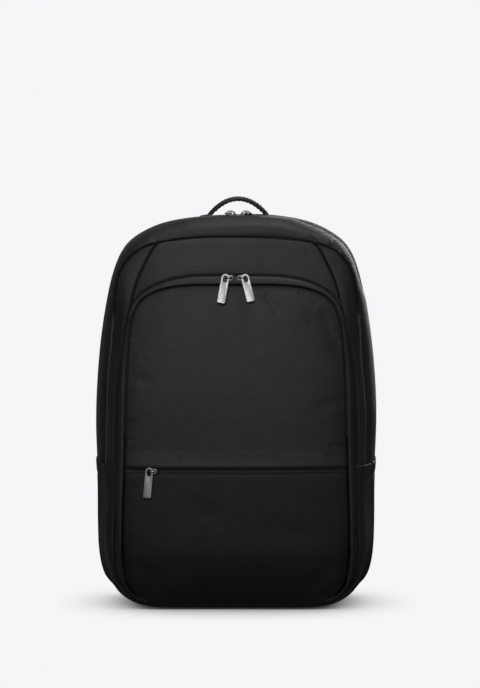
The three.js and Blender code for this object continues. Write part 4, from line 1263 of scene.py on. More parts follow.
def side_pocket(side, name):
    low, high = rail_at(body_rail, POCKET_FOOT), rail_at(body_rail, POCKET_TOP)
    v = spaced(body_rail, low, high, 60)
    shares = np.concatenate([np.linspace(0.03, 0.7, 52), np.linspace(0.72, 1, 14)])
    grid = np.stack([pocket_grid(v, s) for s in shares], axis=1)
    up = np.linspace(0, 1, len(v))[:, None]
    back = shares[None]
    foot = ramp(up / 0.12)
    standoff = (GAP + POCKET_WALL + 0.6 * MM) * foot - 0.6 * MM
    sewn = ramp((1 - back) / 0.05) * ramp((back - 0.03) / 0.05)
    gathers = 0.22 * MM * np.sin(back * 2 * math.pi * 17 + 3 * SWELL(grid))
    gathers = gathers * ramp((up - 0.8) / 0.15)
    ridge = 1.3 * MM * bump(back - 0.43 - 0.02 * RIPPLE(grid), 0.018) * ramp(up / 0.2)
    hollow = -1.2 * MM * bump(back - 0.3, 0.09) * ramp((0.98 - up) / 0.3)
    slack = (1.1 * MM * SWELL(grid * 1.7) + 0.4 * MM * RIPPLE(grid)) * foot
    hem = 0.25 * MM * ramp((up - 0.915) / 0.02) - 0.5 * MM * bump(up - 0.9, 0.012)
    depth = standoff + (gathers + ridge + hollow + slack) * sewn + hem
    depth = depth - POCKET_WALL * (1 - sewn) * 0.6
    grid = mirrored(grid + normals_of(grid) * depth[..., None], side)
    piece = cloth_sheet("side_pocket_cloth_" + name, grid, 1.5 * MM, NYLON)
    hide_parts("side_pocket_" + name)


# Strips, solids swept along a path, plates and stitches


def across_of(path, way):
    """The direction of a strip's width: square to its path and to a second direction."""
    return unit(np.cross(tangents(path), np.broadcast_to(way, path.shape)))


def ribbon(name, path, across, wide, thick, finish, columns=11, **more):
    """A flat strip along a path, with round edges."""
    wide = np.broadcast_to(wide, len(path))[:, None, None]
    normal = unit(np.cross(across, tangents(path)))
    share = np.linspace(-0.5, 0.5, columns)[None, :, None]
    grid = path[:, None] + across[:, None] * share * wide + normal[:, None] * thick / 2
    return cloth_sheet(name, grid, thick, finish, inward=-normal[:, None], **more)


def swept(name, path, across, profile, finish, **more):
    """A closed solid along a path. profile holds, for each point of the path, the places round it
    across and up in metres."""
    normal = unit(np.cross(across, tangents(path)))
    grid = path[:, None] + across[:, None] * profile[..., :1] + normal[:, None] * profile[..., 1:]
    return skin(name, capped(grid), finish, wrap_columns=True, **more)


def plate(name, outline, holes, place, thick, rounding, finish, body="bag"):
    """A flat plate with rounded edges. place is its origin and its directions X, Y and Z."""
    origin, *axes = (Vector(tuple(v)) for v in place)
    work = bmesh.new()
    for loop in [outline] + holes:
        corners = [work.verts.new((x, y, -thick / 2)) for x, y in loop]
        for a, b in zip(corners, corners[1:] + corners[:1]):
            work.edges.new((a, b))
    bmesh.ops.triangle_fill(work, use_beauty=True, use_dissolve=False, edges=work.edges)
    raised = bmesh.ops.extrude_face_region(work, geom=work.faces[:])["geom"]
    top = [part for part in raised if isinstance(part, bmesh.types.BMVert)]
    bmesh.ops.translate(work, vec=(0, 0, thick), verts=top)
    bmesh.ops.recalc_face_normals(work, faces=work.faces)
    work.normal_update()
    rims = [
        edge
        for edge in work.edges
        if edge.is_manifold
        and abs(edge.verts[0].co.z - edge.verts[1].co.z) < 1e-6
        and edge.calc_face_angle(0) > 1
    ]
    bmesh.ops.bevel(
        work,
        geom=rims,
        offset=rounding,
        segments=3,
        profile=0.5,
        affect="EDGES",
        clamp_overlap=True,
    )
    turn = Matrix(axes).transposed().to_4x4()
    bmesh.ops.transform(work, matrix=Matrix.Translation(origin) @ turn, verts=work.verts)
    data = bpy.data.meshes.new(name)
    work.to_mesh(data)
    work.free()
    return finished(name, data, finish, body, angle=35)


def rounded_outline(points, radius, steps=6):
    """A closed outline through corners, each of them rounded."""
    points = np.asarray(points, float)
    radius = np.broadcast_to(radius, len(points))
    made = []
    for i in range(len(points)):
        corner = points[i]
        before, after = points[i - 1] - corner, points[(i + 1) % len(points)] - corner
        start = corner + unit(before) * radius[i]
        end = corner + unit(after) * radius[i]
        for w in np.linspace(0, 1, steps):
            made.append((1 - w) ** 2 * start + 2 * w * (1 - w) * corner + w**2 * end)
    return [tuple(p) for p in made]


STITCH = bead(2.7 * MM, 0.5 * MM, 0.5 * MM)
STITCH_PITCH = 3.8 * MM
STITCH_LIFT = 0.05 * MM


def stitches(name, *lines, pitch=STITCH_PITCH):
    """Rows of stitches. Each line is a path and the normals of the cloth along it."""
    places = []
    for path, normal in lines:
        point, way, out = at_steps(path, normal, pitch)
        places.append((point + out * STITCH_LIFT, way, out))
    return repeated(name, STITCH, places, THREAD)


def mirrored(points, side):
    return points * [side, 1, 1]


def row_along(line, normal, side):
    """A line of the right side for a row of stitches on either side."""
    return mirrored(line, side), mirrored(normal, side)


def row_across(middle, across, half, normal, side):
    """A row of stitches across a strip."""
    return row_along(np.linspace(middle - across * half, middle + across * half, 12), normal, side)


# The padded back


BREAKS = (152 * MM, 292 * MM)
CHANNEL = 6.5 * MM
PAD_FLOOR = REAR_DEPTH + 4.4 * MM
PAD_CREST = BACK_FACE - 0.1 * MM
PAD_PRESSURE = 5.0
SWELLING_FRAMES = 20


def puffed_by_cloth(flat, faces, pins, pressure):
    """Points of a flat sheet after a light cloth has swollen between the pins."""
    data = bpy.data.meshes.new("swelling")
    data.from_pydata(flat.tolist(), [], faces.tolist())
    obj = add_object("swelling", data)
    group = obj.vertex_groups.new(name="pins")
    group.add(np.flatnonzero(pins).tolist(), 1.0, "REPLACE")
    cloth = obj.modifiers.new("cloth", "CLOTH")
    settings = cloth.settings
    settings.quality = 6
    settings.mass = 0.02
    settings.tension_stiffness = 8
    settings.compression_stiffness = 8
    settings.shear_stiffness = 3
    settings.bending_stiffness = 0.15
    settings.use_pressure = True
    settings.uniform_pressure_force = pressure
    settings.effector_weights.gravity = 0
    settings.vertex_group_mass = "pins"
    settings.shrink_min = -0.05
    cloth.point_cache.frame_start = 1
    cloth.point_cache.frame_end = SWELLING_FRAMES
    scene = bpy.context.scene
    for step in range(1, SWELLING_FRAMES + 1):
        scene.frame_set(step)
    swollen = obj.evaluated_get(bpy.context.evaluated_depsgraph_get())
    points = np.empty(len(flat) * 3)
    swollen.data.vertices.foreach_get("co", points)
    bpy.data.objects.remove(obj)
    scene.frame_set(1)
    return points.reshape(-1, 3)


def swell(grid, away, pinned, height, pressure):
    rows, columns, _ = grid.shape
    soft = height * (1 - np.exp(-away / (9 * MM)))
    ids = np.arange(rows * columns).reshape(rows, columns)
    corners = [ids[:-1, :-1], ids[1:, :-1], ids[1:, 1:], ids[:-1, 1:]]
    faces = np.stack(corners, axis=-1).reshape(-1, 4)
    if np.cross(grid[1, 0] - grid[0, 0], grid[0, 1] - grid[0, 0])[1] < 0:
        faces = faces[:, ::-1]
    flat = grid.reshape(-1, 3)
    moved = puffed_by_cloth(flat, faces, pinned.ravel(), pressure).reshape(grid.shape) - grid
    tall = np.percentile(moved[..., 1], 99.5)
    moved *= height / max(tall, 1e-6)
    moved[..., 1] = np.clip(0.55 * moved[..., 1] + 0.45 * soft, 0, height)
    moved[..., [0, 2]] = np.clip(moved[..., [0, 2]], -1.2 * MM, 1.2 * MM)
    moved[pinned] = 0
    return grid + moved


def pad_half_width(z):
    outline = body_point(HALF_RING[::4], PAD_INSET, 0)
    return np.interp(z, np.maximum.accumulate(outline[:, 2]), outline[:, 0])


def back_pad():
    q = np.linspace(0, 1, 128)
    low, high = PAD_INSET + 0.5 * MM, HEIGHT - PAD_INSET - 0.5 * MM
    z = low + (high - low) * (0.6 * q + 0.2 * (1 - np.cos(math.pi * q)))
    half = pad_half_width(z)
    u = np.linspace(-1, 1, 97)
    x, z = half[:, None] * u[None], z[:, None] * np.ones_like(u)[None]
    outline = body_point(ring(500), PAD_INSET, 0)[:, [0, 2]]
    outline = np.vstack([outline, outline[:1]])
    rim, _ = distance_to(outline, x, z)
    seams = [np.abs(x)] + [np.abs(z - middle) for middle in BREAKS]
    away = np.minimum.reduce([s - CHANNEL for s in seams] + [rim - 6 * MM])
    grid = upright(x, PAD_FLOOR, z)
    pinned = away < 0
    pinned[[0, -1]] = True
    pinned[:, [0, -1]] = True
    puffed = swell(grid, np.clip(away, 0, None), pinned, PAD_CREST - PAD_FLOOR, PAD_PRESSURE)
    border = 0.9 * MM * bump(rim - 3 * MM, 2.4 * MM) - 1.6 * MM * fading(rim, 5 * MM)
    puffed[..., 1] += np.where(away < 0, border, 0)
    depth = (puffed[..., 1] - REAR_DEPTH - GAP)[..., None]
    piece = cloth_sheet("back_pad_cushion", puffed, depth, MESH, inward=(0, -1, 0))
    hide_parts("back_pad")
    return outline


def back_pad_trim(outline):
    """A binding round the pad and rows of stitches along its seams."""
    path = upright(outline[:-1, 0], PAD_FLOOR - 1.6 * MM, outline[:-1, 1])
    binding = tube("back_pad_binding", path, 1.9 * MM, BINDING, closed=True, sides=10)
    beside = CHANNEL - 1.2 * MM
    lines = []
    for side in (-1, 1):
        for middle in BREAKS:
            x = side * np.linspace(CHANNEL, float(pad_half_width(middle)) - 6 * MM, 60)
            for edge in (-1, 1):
                z = np.full_like(x, middle + edge * beside)
                lines.append((upright(x, PAD_FLOOR, z), (0, 1, 0)))
        z = np.linspace(PAD_INSET + 8 * MM, HEIGHT - PAD_INSET - 8 * MM, 200)
        lines.append((upright(np.full_like(z, side * beside), PAD_FLOOR, z), (0, 1, 0)))
    stitches("back_pad_stitches", *lines)


# Shoulder straps, buckles and webbing


WEBBING_SHEET = 1.3 * MM
strap_curve = curve_through([
    (r["x"] * HALF_WIDTH, BACK_FACE + r["off"] * STRAP_STANDOFF, r["z"] * HEIGHT)
    for r in STRAP_LINE
])
STRAP_SHARES = np.linspace(0, 1, len(STRAP_LINE))
STRAP_WIDE = np.array([r["wide"] for r in STRAP_LINE]) * STRAP_WIDTH
STRAP_HEM = 0.94


def strap_frame(s):
    """Points, directions across, normals and widths along the right strap."""
    path = strap_curve(s)
    across = across_of(path, (0, 1, 0))
    normal = unit(np.cross(across, tangents(path)))
    return path, across, normal, np.interp(s, STRAP_SHARES, STRAP_WIDE)


def strap_thickness(s):
    return STRAP_DEPTH * (1 - 0.4 * ramp((s - STRAP_HEM) / 0.02))


def strap_rise(a, s):
    """Half of the strap's thickness at a share across it: soft in the middle, low at the edges."""
    full = 1 - np.abs(a) ** 3.4
    low = 0.34 * (1 - ramp((np.abs(a) - 0.9) / 0.1) * 0.3)
    return strap_thickness(s) / 2 * (low + (1 - low) * full)


def strap(side, name):
    s = np.linspace(0, 1, 150)
    path, across, normal, wide = strap_frame(s)
    down = s[:, None]
    a = np.sin(np.linspace(-math.pi / 2, math.pi / 2, 31))[None]
    end = ramp(down / 0.03) * ramp((1 - down) / 0.008)
    rise = strap_rise(a, down) * (0.45 + 0.55 * end)
    seam = 0.9 * MM * (bump(np.abs(a) - 0.44, 0.05) + bump(np.abs(a) - 0.78, 0.05))
    seam = seam * ramp((STRAP_HEM - down) / 0.05)
    pucker = 0.3 * MM * np.sin(down * 260 + 2 * a) * bump(np.abs(a) - 0.86, 0.08)
    place = path[:, None] + across[:, None] * a[..., None] * wide[:, None, None] / 2
    upper = place + normal[:, None] * (rise - seam + pucker)[..., None]
    lower = place - normal[:, None] * (rise + pucker)[..., None]
    grid = mirrored(capped(np.hstack([upper, lower[:, -2:0:-1]])), side)
    piece = skin("strap_cover_" + name, grid, NYLON, wrap_columns=True)
    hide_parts("strap_" + name)
    covered = slice(3, -8)
    facing = normal[covered, None]
    mesh = mirrored(lower[covered, 2:-2] - facing * 0.5 * MM, side)
    facing = mirrored(facing, side)
    lining = cloth_sheet("strap_mesh_" + name, mesh, 0.9 * MM, MESH, inward=facing)
    for edge, word in ((-1, "inner"), (1, "outer")):
        rim = path + across * edge * wide[:, None] / 2
        rim, facing = row_along(rim[1:-1], normal[1:-1], side)
        bound = f"strap_binding_{word}_{name}"
        binding = tube(bound, rim, 2.1 * MM, BINDING, sides=10, outwards=facing)
    sewn = slice(4, -6)
    surface = place + normal[:, None] * (rise - seam)[..., None]
    rows = [row_along(surface[sewn, k], normal[sewn], side) for k in (9, 21)]
    stitches("strap_stitches_" + name, *rows)


def webbing_strip(name, side, path, across, thick=WEBBING_SHEET):
    """Webbing along a path of the right side, on either side."""
    path, across = mirrored(path, side), mirrored(across, side)
    return ribbon(name, path, across, WEBBING_WIDTH, thick, WEBBING)


def strap_webbing(side, name):
    """The webbing sewn down the outside of the strap, which goes round the buckle's first bar."""
    s = np.linspace(0.36, 0.992, 110)
    path, across, normal, _ = strap_frame(s)
    lift = strap_thickness(s) / 2 * (0.35 + 0.65 * ramp((s - 0.36) / 0.01)) + 0.5 * MM
    laid = path + normal * lift[:, None]
    below = -STRAP_DEPTH * 0.3
    loop = [on_lock(1 * MM, 0.6 * MM - below)]
    loop += [
        on_lock(0.5 * LOCK_BAR + 3.2 * MM * math.sin(turn), 3.1 * MM * math.cos(turn))
        for turn in np.linspace(0.2, math.pi - 0.2, 9)
    ]
    ends = ((0, 0.4), (-6, 0.9), (-16, 1.1))
    loop += [on_lock(down * MM, below - under * MM) for down, under in ends]
    shares = np.linspace(0, 1, 240)
    fine = curve_through(np.vstack([laid, loop]))(shares)
    turned = np.vstack([across, np.broadcast_to(lock_across, (len(loop), 3))])
    turned = square_to(curve_through(turned)(shares), tangents(fine))
    piece = webbing_strip("strap_webbing_" + name, side, fine, turned)
    top = laid + normal * 0.75 * MM
    rows = [
        row_along((top + across * w * (WEBBING_WIDTH / 2 - 2.4 * MM))[1:-2], normal[1:-2], side)
        for w in (-1, 1)
    ]
    for k in (1, 42, 76, 100):
        rows.append(row_across(top[k], across[k], WEBBING_WIDTH / 2 - 3 * MM, normal[k], side))
    stitches("strap_webbing_stitches_" + name, *rows)


strap_end = strap_curve(1)[0]
lock_along = unit(strap_end - strap_curve(0.995)[0])
lock_across = unit(np.cross(lock_along, (0, 1, 0)))
lock_out = np.cross(lock_across, lock_along)


def on_lock(down, out):
    """A place on the right buckle: down from the strap's end, and out of its middle plane."""
    return strap_end + lock_along * (GAP + down) + lock_out * out


def ladder_lock(side, name):
    w, h = LOCK_WIDTH / 2, LOCK_LENGTH / 2
    outline = rounded_outline([(-w, -h), (w, -h), (w, h), (-w, h)], 4.2 * MM)
    slot_high = (LOCK_LENGTH - 4 * LOCK_BAR) / 3
    half = WEBBING_WIDTH / 2 + 0.5 * MM
    holes = []
    for step in (-1, 0, 1):
        middle = step * (slot_high + LOCK_BAR)
        low, high = middle - slot_high / 2, middle + slot_high / 2
        corners = [(-half, low), (half, low), (half, high), (-half, high)]
        holes.append(rounded_outline(corners, 1 * MM, 4))
    places = (on_lock(LOCK_LENGTH / 2, 0), lock_across, -lock_along, lock_out)
    place = [mirrored(v, side) for v in places]
    piece = plate(
        "ladder_lock_" + name + "_frame", outline, holes, place, LOCK_DEPTH, 0.9 * MM, PLASTIC
    )
    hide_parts("ladder_lock_" + name)
    bars = ((LOCK_LENGTH - LOCK_BAR / 2, 1.3 * MM), (LOCK_LENGTH / 2 + 3.6 * MM, 0.7 * MM))
    for k, (down, radius) in enumerate(bars):
        middle, reach = on_lock(down, LOCK_DEPTH / 2 - 0.3 * MM), lock_across * (w - 4 * MM)
        line = mirrored(np.linspace(middle - reach, middle + reach, 12), side)
        bar = f"ladder_lock_ridge_{k}_{name}"
        tube(bar, line, radius, PLASTIC, sides=10, outwards=place[3])


WING_EDGE = body_point(rail_at(body_rail, WING_HEIGHT), 0, REAR_DEPTH)[0, 0]
WING_TIP = np.array([WING_EDGE - WING_INSET, BACK_FACE + WING_LIFT, WING_HEIGHT + WING_RISE])
LOCK_FACE = (LOCK_DEPTH + WEBBING_DEPTH) / 2 + GAP
WEBBING_END = on_lock(LOCK_LENGTH * 0.55, -LOCK_FACE)
WEBBING_WAY = unit(WEBBING_END - WING_TIP)
WEBBING_RUN = np.linalg.norm(WEBBING_END - WING_TIP)


def wing(side, name):
    outside = WING_EDGE - PAD_INSET / 2
    bulge = 3.4 * MM if side > 0 else 0
    path = curve_through([
        (outside + 2 * MM + bulge, REAR_DEPTH - 3 * MM, WING_HEIGHT),
        (outside + 1 * MM + bulge, REAR_DEPTH + 1.6 * MM, WING_HEIGHT + WING_RISE * 0.08),
        (outside - 3 * MM, REAR_DEPTH + 0.8 * PAD_DEPTH, WING_HEIGHT + WING_RISE * 0.2),
        (outside - 10 * MM, BACK_FACE + WING_LIFT, WING_HEIGHT + WING_RISE * 0.5),
        WING_TIP,
    ])(np.linspace(0, 1, 40))
    s = np.linspace(0, 1, 40)[:, None]
    slanted = unit(np.cross(WEBBING_WAY, (0, 1, 0)))
    across = unit(np.array([0, 0, -1]) * (1 - s**3) + slanted * s**3)
    across = square_to(across, tangents(path))
    wide = (WING_SPAN + (WEBBING_WIDTH + 3 * MM - WING_SPAN) * s)[:, 0]
    path, across = mirrored(path, side), mirrored(across, side)
    piece = ribbon("wing_cloth_" + name, path, across, wide, 2 * MM, NYLON, columns=19)
    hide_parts("wing_" + name)
    normal = unit(np.cross(across, tangents(path)))
    rows = []
    for w in (-1, 1):
        for face in (-1, 1):
            line = path + across * w * (wide[:, None] / 2 - 3 * MM) + normal * face * 1 * MM
            rows.append((line[6:-1], normal[6:-1] * face))
    stitches("wing_stitches_" + name, *rows)


def lower_webbing(side, name):
    points = [
        WING_TIP - WEBBING_WAY * 9 * MM + [0, 2.2 * MM, 0],
        WING_TIP + WEBBING_WAY * 2 * GAP,
        WING_TIP + WEBBING_WAY * WEBBING_RUN * 0.35,
        on_lock(LOCK_LENGTH + WEBBING_RUN * 0.12, -LOCK_FACE),
        WEBBING_END,
    ]
    path = curve_through(points)(np.linspace(0, 1, 70))
    across = across_of(path, (0, 1, 0))
    piece = webbing_strip("lower_webbing_" + name, side, path, across, WEBBING_DEPTH)
    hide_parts("webbing_" + name)


def webbing_tail(side, name):
    hanging = on_lock(LOCK_LENGTH, LOCK_FACE)
    path = curve_through([
        WEBBING_END + lock_along * 1 * MM,
        on_lock(LOCK_LENGTH * 0.5, -0.4 * MM),
        on_lock(LOCK_LENGTH * 0.47, LOCK_FACE),
        on_lock(LOCK_LENGTH * 0.7, LOCK_FACE + 0.6 * MM),
        hanging + lock_out * 0.5 * MM,
        hanging + lock_out * 2 * MM - [0, 0, TAIL_LENGTH / 2],
        hanging + lock_out * 0.8 * MM - [0, 0, TAIL_LENGTH * 0.94],
    ])(np.linspace(0, 1, 110))
    across = square_to(np.broadcast_to(lock_across, path.shape), tangents(path))
    piece = webbing_strip("webbing_tail_" + name + "_strip", side, path, across)
    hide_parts("webbing_tail_" + name)
    normal = unit(np.cross(across, tangents(path)))
    fold = path[-18:] - normal[-18:] * 1.5 * MM
    tip = path[-1] + tangents(path)[-1] * 0.8 * MM - normal[-1] * 0.75 * MM
    folded = curve_through(np.vstack([path[-2:], tip, fold[::-1]]))(np.linspace(0, 1, 40))
    turned = np.broadcast_to(across[-1], folded.shape)
    hem = webbing_strip("webbing_tail_hem_" + name, side, folded, turned)
    rows = []
    for k in (-16, -12):
        for facing, lift in ((normal[k], 0.7 * MM), (-normal[k], 2.2 * MM)):
            half = WEBBING_WIDTH / 2 - 2 * MM
            rows.append(row_across(path[k] + facing * lift, across[k], half, facing, side))
    stitches("webbing_tail_stitches_" + name, *rows)


# The handle


def handle():
    reach = HANDLE_SPAN / 2 - HANDLE_DEPTH / 2
    foot = top_at(reach) - 1.5 * MM
    top = HEIGHT + HANDLE_RISE - HANDLE_DEPTH / 2
    u = np.linspace(-1, 1, 220)
    arch = foot + (top - foot) * (1 - u**2) ** 0.9
    line = upright(HANDLE_MIDDLE + u * reach, HANDLE_BACK, arch)
    length = lengths_along(line)
    where = np.linspace(0, length[-1], 260)
    path = at_lengths(line, length, where)
    across = np.broadcast_to((0.0, 1.0, 0.0), path.shape)
    turn = np.linspace(0, 2 * math.pi, 40, endpoint=False)
    a = np.sign(np.cos(turn)) * np.abs(np.cos(turn)) ** 0.45
    b = np.sign(np.sin(turn)) * np.abs(np.sin(turn)) ** 0.7
    crinkle = np.sin(where / (3.6 * MM) * 2 * math.pi + 1.4 * np.sin(where / (23 * MM)))[:, None]
    under = ramp(b[None] / 0.4) * bump(a[None], 0.75)
    depth = HANDLE_DEPTH / 2 + 0.35 * MM * crinkle * under
    sag = 0.25 * MM * RIPPLE(path)[:, None]
    profile = np.stack([a[None] * HANDLE_WIDTH / 2 + 0 * depth, b[None] * depth + sag], axis=-1)
    piece = swept("handle_grip", path, across, profile, LEATHER)
    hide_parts("handle")
    normal = unit(np.cross(across, tangents(path)))
    rows, laces = [], []
    for face in (-1, 1):
        for w in (-1, 1):
            line = path + across * w * (HANDLE_WIDTH / 2 - 2.6 * MM)
            line += normal * face * HANDLE_DEPTH / 2 * 0.97
            rows.append((line[14:-14], normal[14:-14] * face))
    stitches("handle_stitches", *rows, pitch=4.2 * MM)
    for w in (-1, 1):
        line = path + across * w * (HANDLE_WIDTH / 2 - 0.8 * MM) + normal * HANDLE_DEPTH / 2 * 0.8
        point, way, out = at_steps(line[30:-30], normal[30:-30], 4.6 * MM)
        leaning = unit(way + 0.35 * out)
        laces.append((point, leaning, square_to(out, leaning)))
    lace = bead(3.4 * MM, 1.6 * MM, 2.2 * MM, sides=8)
    repeated("handle_lacing", lace, laces, LEATHER)
    shares = np.linspace(0, 1, 14)
    for side, word in ((-1, "left"), (1, "right")):
        x = HANDLE_MIDDLE + side * (reach + np.array([-3.5, 0, 5, 9]) * MM)
        line = upright(x, HANDLE_BACK, top_at(x) + np.array([0.9, 0.9, 0.5, 0.1]) * MM)
        line = curve_through(line)(shares)
        across = np.broadcast_to((0.0, 1.0, 0.0), line.shape)
        wide = HANDLE_WIDTH + 3 * MM
        patch = ribbon("handle_foot_" + word, line, across, wide, 1.4 * MM, NYLON)


# Sliders and pull tabs, in a frame of their own: X along the zip, Y up the cloth, Z out of it.

SLIDER_LENGTH = 12 * MM
SLIDER_WIDTH = 8.6 * MM
SLIDER_PLATE = 1.2 * MM
SLIDER_LIFT = 0.4 * MM
BRIDGE_LENGTH = 9.6 * MM
BRIDGE_HEIGHT = 4.1 * MM
BRIDGE_WIRE = 1.6 * MM
PULLER_WIDTH = 8.8 * MM
PULLER_LENGTH = 34.5 * MM
PULLER_THICKNESS = 1.4 * MM
PULLER_CORNER = 1.6 * MM
PULLER_EYE = 5 * MM
PULLER_EYE_LENGTH = 8 * MM
PULLER_LIFT = 0.55 * MM
PULLER_SHIFT = 0.3 * MM

# Their heights on the front
FRONT_SLIDER = 371.48 * MM
POCKET_SLIDER = 158.6 * MM


def arc(radius, start, end, middle=(0, 0), steps=18):
    angles = np.radians(np.linspace(start, end, steps))
    return [(middle[0] + radius * math.cos(t), middle[1] + radius * math.sin(t)) for t in angles]


def zip_slider(name, origin, along, up, outwards, sway, length, narrow=1, loop="flat"):
    """A slider with its pull tab. outwards is 1 or -1 along X, towards the leg of the bridge that
    the tab hangs on, and sway is the tab's angle that way. narrow scales the plate's width."""
    out = unit(np.cross(along, up))
    level = unit(np.cross(up, out))
    up = unit(up)

    def placed(x, y, z):
        return origin + level * x + up * y + out * z

    h, w = SLIDER_LENGTH / 2, SLIDER_WIDTH / 2 * narrow
    upper = [(h, w, 1.9), (h * 0.45, w, 1), (-h * 0.3, w - 0.5 * MM, 1), (-h, w - 1.4 * MM, 1.6)]
    corners = [(x, -y) for x, y, _ in upper[::-1]] + [(x, y) for x, y, _ in upper]
    radii = [radius * MM for _, _, radius in upper[::-1] + upper]
    outline = rounded_outline(corners, radii, 5)
    place = (placed(0, 0, SLIDER_LIFT + SLIDER_PLATE / 2), level, up, out)
    # The plate takes the darker copy of the metal: painted shade.
    body = plate(
        "slider_" + name + "_plate", outline, [], place, SLIDER_PLATE, 0.45 * MM, SHADED_METAL
    )
    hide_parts("slider_" + name)
    half = BRIDGE_LENGTH / 2 - BRIDGE_WIRE / 2
    high = BRIDGE_HEIGHT - BRIDGE_WIRE * 0.45
    base = SLIDER_LIFT + SLIDER_PLATE
    foot = base - SLIDER_PLATE / 2
    legs = [placed(half, 0, foot)]
    for turn in np.linspace(0, math.pi, 28):
        legs.append(placed(half * math.cos(turn), 0, base + high * math.sin(turn) ** 0.8))
    legs = np.array(legs + [placed(-half, 0, foot)])
    turn = np.linspace(0, 2 * math.pi, 14, endpoint=False)
    profile = np.stack([np.cos(turn) * 0.9 * MM, np.sin(turn) * 0.7 * MM], axis=-1)
    profile = np.broadcast_to(profile, (len(legs),) + profile.shape)
    side = np.broadcast_to(up, legs.shape)
    bridge = swept("slider_" + name + "_bridge", legs, side, profile, METAL)
    turns = np.linspace(0, 2 * math.pi, 32, endpoint=False)
    aside = outwards * 1.6 * MM
    if loop == "flat":
        wire = [
            placed(2.9 * MM * math.cos(a) - aside, 2.5 * MM * math.sin(a), base + 0.5 * MM)
            for a in turns
        ]
        face = out
    else:
        wire = [
            placed(4.2 * MM * math.cos(a) + aside, 0, base + 1.4 * MM + 3 * MM * math.sin(a))
            for a in turns
        ]
        face = up
    wire_loop = "slider_" + name + "_loop"
    wire = tube(wire_loop, wire, 0.7 * MM, METAL, closed=True, sides=10, outwards=face)
    lift = SLIDER_LIFT + SLIDER_PLATE + PULLER_LIFT + PULLER_THICKNESS / 2
    eye = placed(outwards * (half - PULLER_SHIFT), 0, lift)
    turned = outwards * sway
    x_way = level * math.cos(turned) + up * math.sin(turned)
    y_way = up * math.cos(turned) - level * math.sin(turned)
    r, e, corner = PULLER_WIDTH / 2, PULLER_EYE / 2, PULLER_CORNER
    low = r - length + corner
    sides = arc(r, 0, 180, steps=26)
    sides += arc(corner, 180, 270, (-r + corner, low), 7)
    sides += arc(corner, 270, 360, (r - corner, low), 7)
    hole = arc(e, 0, 180, steps=16) + arc(e, 180, 360, (0, PULLER_EYE - PULLER_EYE_LENGTH), 16)
    tab = plate(
        "puller_" + name + "_tab",
        sides,
        [hole],
        (eye, x_way, y_way, out),
        PULLER_THICKNESS,
        0.42 * MM,
        METAL,
        body="pull_" + name,
    )
    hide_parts("puller_" + name)


def face_slider(name, x, z, rise, outwards, sway, length, narrow=1):
    """A slider on the front. sway is in degrees."""

    def on(x, z):
        return on_face(np.array(x), np.array(z), rise)

    along = on(x + SLIDER_LENGTH / 2, z) - on(x - SLIDER_LENGTH / 2, z)
    up = on(x, z) - on(x, z - PULLER_LENGTH + PULLER_WIDTH / 2)
    zip_slider(name, on(x, z), along, up, outwards, math.radians(sway), length, narrow)


def sliders():
    across, forward = np.array([-1.0, 0, 0]), np.array([0, -1.0, 0])
    for side, label in ((-1, "left"), (1, "right")):
        x = 2.6 * MM + side * 7.4 * MM
        top = np.array([x, zip_depth(0.5), float(top_at(x))])
        zip_slider("top_" + label, top, across, forward, -side, 0, PULLER_LENGTH, loop="standing")
        x = -0.6 * MM + side * 7.3 * MM
        sway, length = (13, 32.5 * MM) if side > 0 else (10, 34 * MM)
        face_slider("front_" + label, x, FRONT_SLIDER, FLAP_RISE, side, sway, length)
    face_slider("pocket", -92 * MM, POCKET_SLIDER, 1.1 * MM, -1, 5, 34 * MM, narrow=0.64)


# All the pieces


def build():
    rear_shell()
    front_shell()
    main_zip()
    base_gusset()
    rear_piping()
    main_seam()
    front_gusset()
    yoke()
    zip_flap()
    painted_seam_shade()
    door()
    lower_panel()
    front_zip()
    pocket_zip()
    back_pad_trim(back_pad())
    for side, name in ((1, "right"), (-1, "left")):
        side_pocket(side, name)
        strap(side, name)
        strap_webbing(side, name)
        ladder_lock(side, name)
        wing(side, name)
        lower_webbing(side, name)
        webbing_tail(side, name)
    handle()
    sliders()


build()


# The stage: a pale floor and a backdrop of the same white

BACKGROUND = (0.922, 0.913, 0.939)
SHADOW_REACH = 0.085
FLOOR_REACH = 7.4

# The share of the sky that a place on the floor sees, and its light there
SHADOW_STOPS = [
    (0.02, 0.01),
    (0.12, 0.12),
    (0.3, 0.42),
    (0.45, 0.62),
    (0.6, 0.8),
    (0.75, 0.93),
    (0.9, 1.0),
]


def even_light(name, contact=False):
    """A material that gives off the background's colour. contact: it darkens close to what stands
    on it."""
    made = bpy.data.materials.new(name)
    made.use_nodes = True
    tree = made.node_tree
    tree.nodes.clear()
    glow = node(tree, "Emission", Color=(*BACKGROUND, 1), Strength=1.0)
    if contact:
        tree.links.new(contact_shadow(tree), glow.inputs["Color"])
    out = node(tree, "OutputMaterial")
    tree.links.new(glow.outputs[0], out.inputs["Surface"])
    return made


def contact_shadow(tree):
    """The floor's colour under an even white sky, with the soft shade of near things."""
    near = node(tree, "AmbientOcclusion", Distance=SHADOW_REACH)
    near.samples = 24
    ramp_node = tree.nodes.new("ShaderNodeValToRGB")
    tree.links.new(near.outputs["AO"], ramp_node.inputs[0])
    stops = ramp_node.color_ramp.elements
    while len(stops) < len(SHADOW_STOPS):
        stops.new(0.5)
    for stop, (open_share, light) in zip(stops, SHADOW_STOPS):
        stop.position = open_share
        stop.color = tuple(light * c for c in BACKGROUND) + (1,)
    return ramp_node.outputs[0]


def seen_by_camera_alone(obj):
    obj.visible_diffuse = False
    obj.visible_glossy = False
    obj.visible_transmission = False
    obj.visible_shadow = False
    return obj


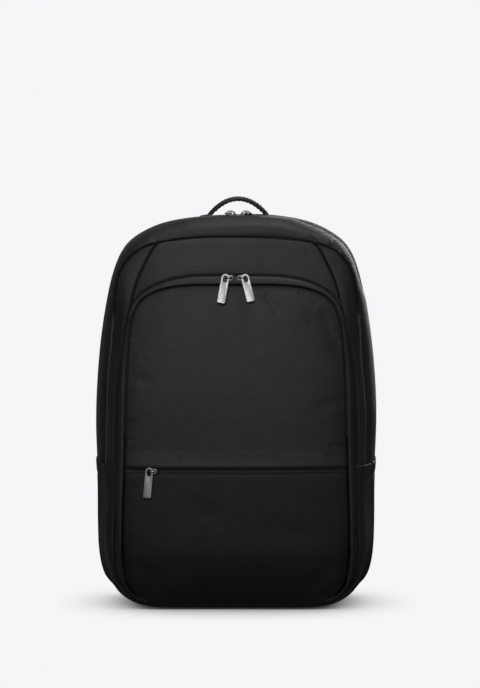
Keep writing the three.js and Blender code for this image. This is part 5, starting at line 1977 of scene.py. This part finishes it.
def backdrop():
    work = bmesh.new()
    bmesh.ops.create_uvsphere(work, u_segments=96, v_segments=48, radius=8)
    bmesh.ops.reverse_faces(work, faces=work.faces)
    data = bpy.data.meshes.new("backdrop")
    work.to_mesh(data)
    work.free()
    data.materials.append(even_light("backdrop"))
    return seen_by_camera_alone(add_object("backdrop", data))


def floor():
    data = bpy.data.meshes.new("floor")
    corners = ((-1, -1), (1, -1), (1, 1), (-1, 1))
    points = [(x * FLOOR_REACH, y * FLOOR_REACH, -0.2 * MM) for x, y in corners]
    data.from_pydata(points, [], [(0, 1, 2, 3)])
    data.materials.append(even_light("floor", contact=True))
    return seen_by_camera_alone(add_object("floor", data))


def face_towards(obj, place, aim):
    """Puts a lamp or camera in its place and turns it to its aim."""
    obj.location = place
    obj.rotation_euler = (aim - place).to_track_quat("-Z", "Y").to_euler()


def soft_light(name, place, aim, size, power):
    data = bpy.data.lights.new(name, "AREA")
    data.shape = "RECTANGLE"
    data.size, data.size_y = size
    data.energy = power
    face_towards(add_object(name, data), Vector(place), Vector(aim))


def lights():
    world = bpy.data.worlds.new("room")
    world.use_nodes = True
    sky = world.node_tree.nodes["Background"]
    sky.inputs["Color"].default_value = (1, 1, 1, 1)
    sky.inputs["Strength"].default_value = 0.05
    bpy.context.scene.world = world
    aim = (0, 0, 0.22)
    soft_light("front", (-0.42, -2.6, 1.8), aim, (1.3, 1.2), 30.5)
    soft_light("above", (0.3, 0.1, 2.6), aim, (1.6, 0.9), 22)
    soft_light("right", (1.2, 2.2, 1.3), aim, (0.4, 1.6), 4)
    soft_light("behind", (0.6, 2.8, 0.8), aim, (1.6, 1.4), 19)
    soft_light("low", (0, -1.7, 0.05), (0, 0, 0.1), (2, 0.6), 1.8)


def camera():
    data = bpy.data.cameras.new("camera")
    data.sensor_fit = "VERTICAL"
    data.sensor_height = 36
    data.lens = 138.2
    data.clip_end = 30
    obj = add_object("camera", data)
    aim = Vector((4.5 * MM, 0, 295 * MM))
    height = math.radians(3.75)
    face_towards(obj, aim + 3 * Vector((0, -math.cos(height), math.sin(height))), aim)
    bpy.context.scene.camera = obj


floor()
backdrop()
lights()
camera()
bpy.context.scene.view_settings.view_transform = "Standard"
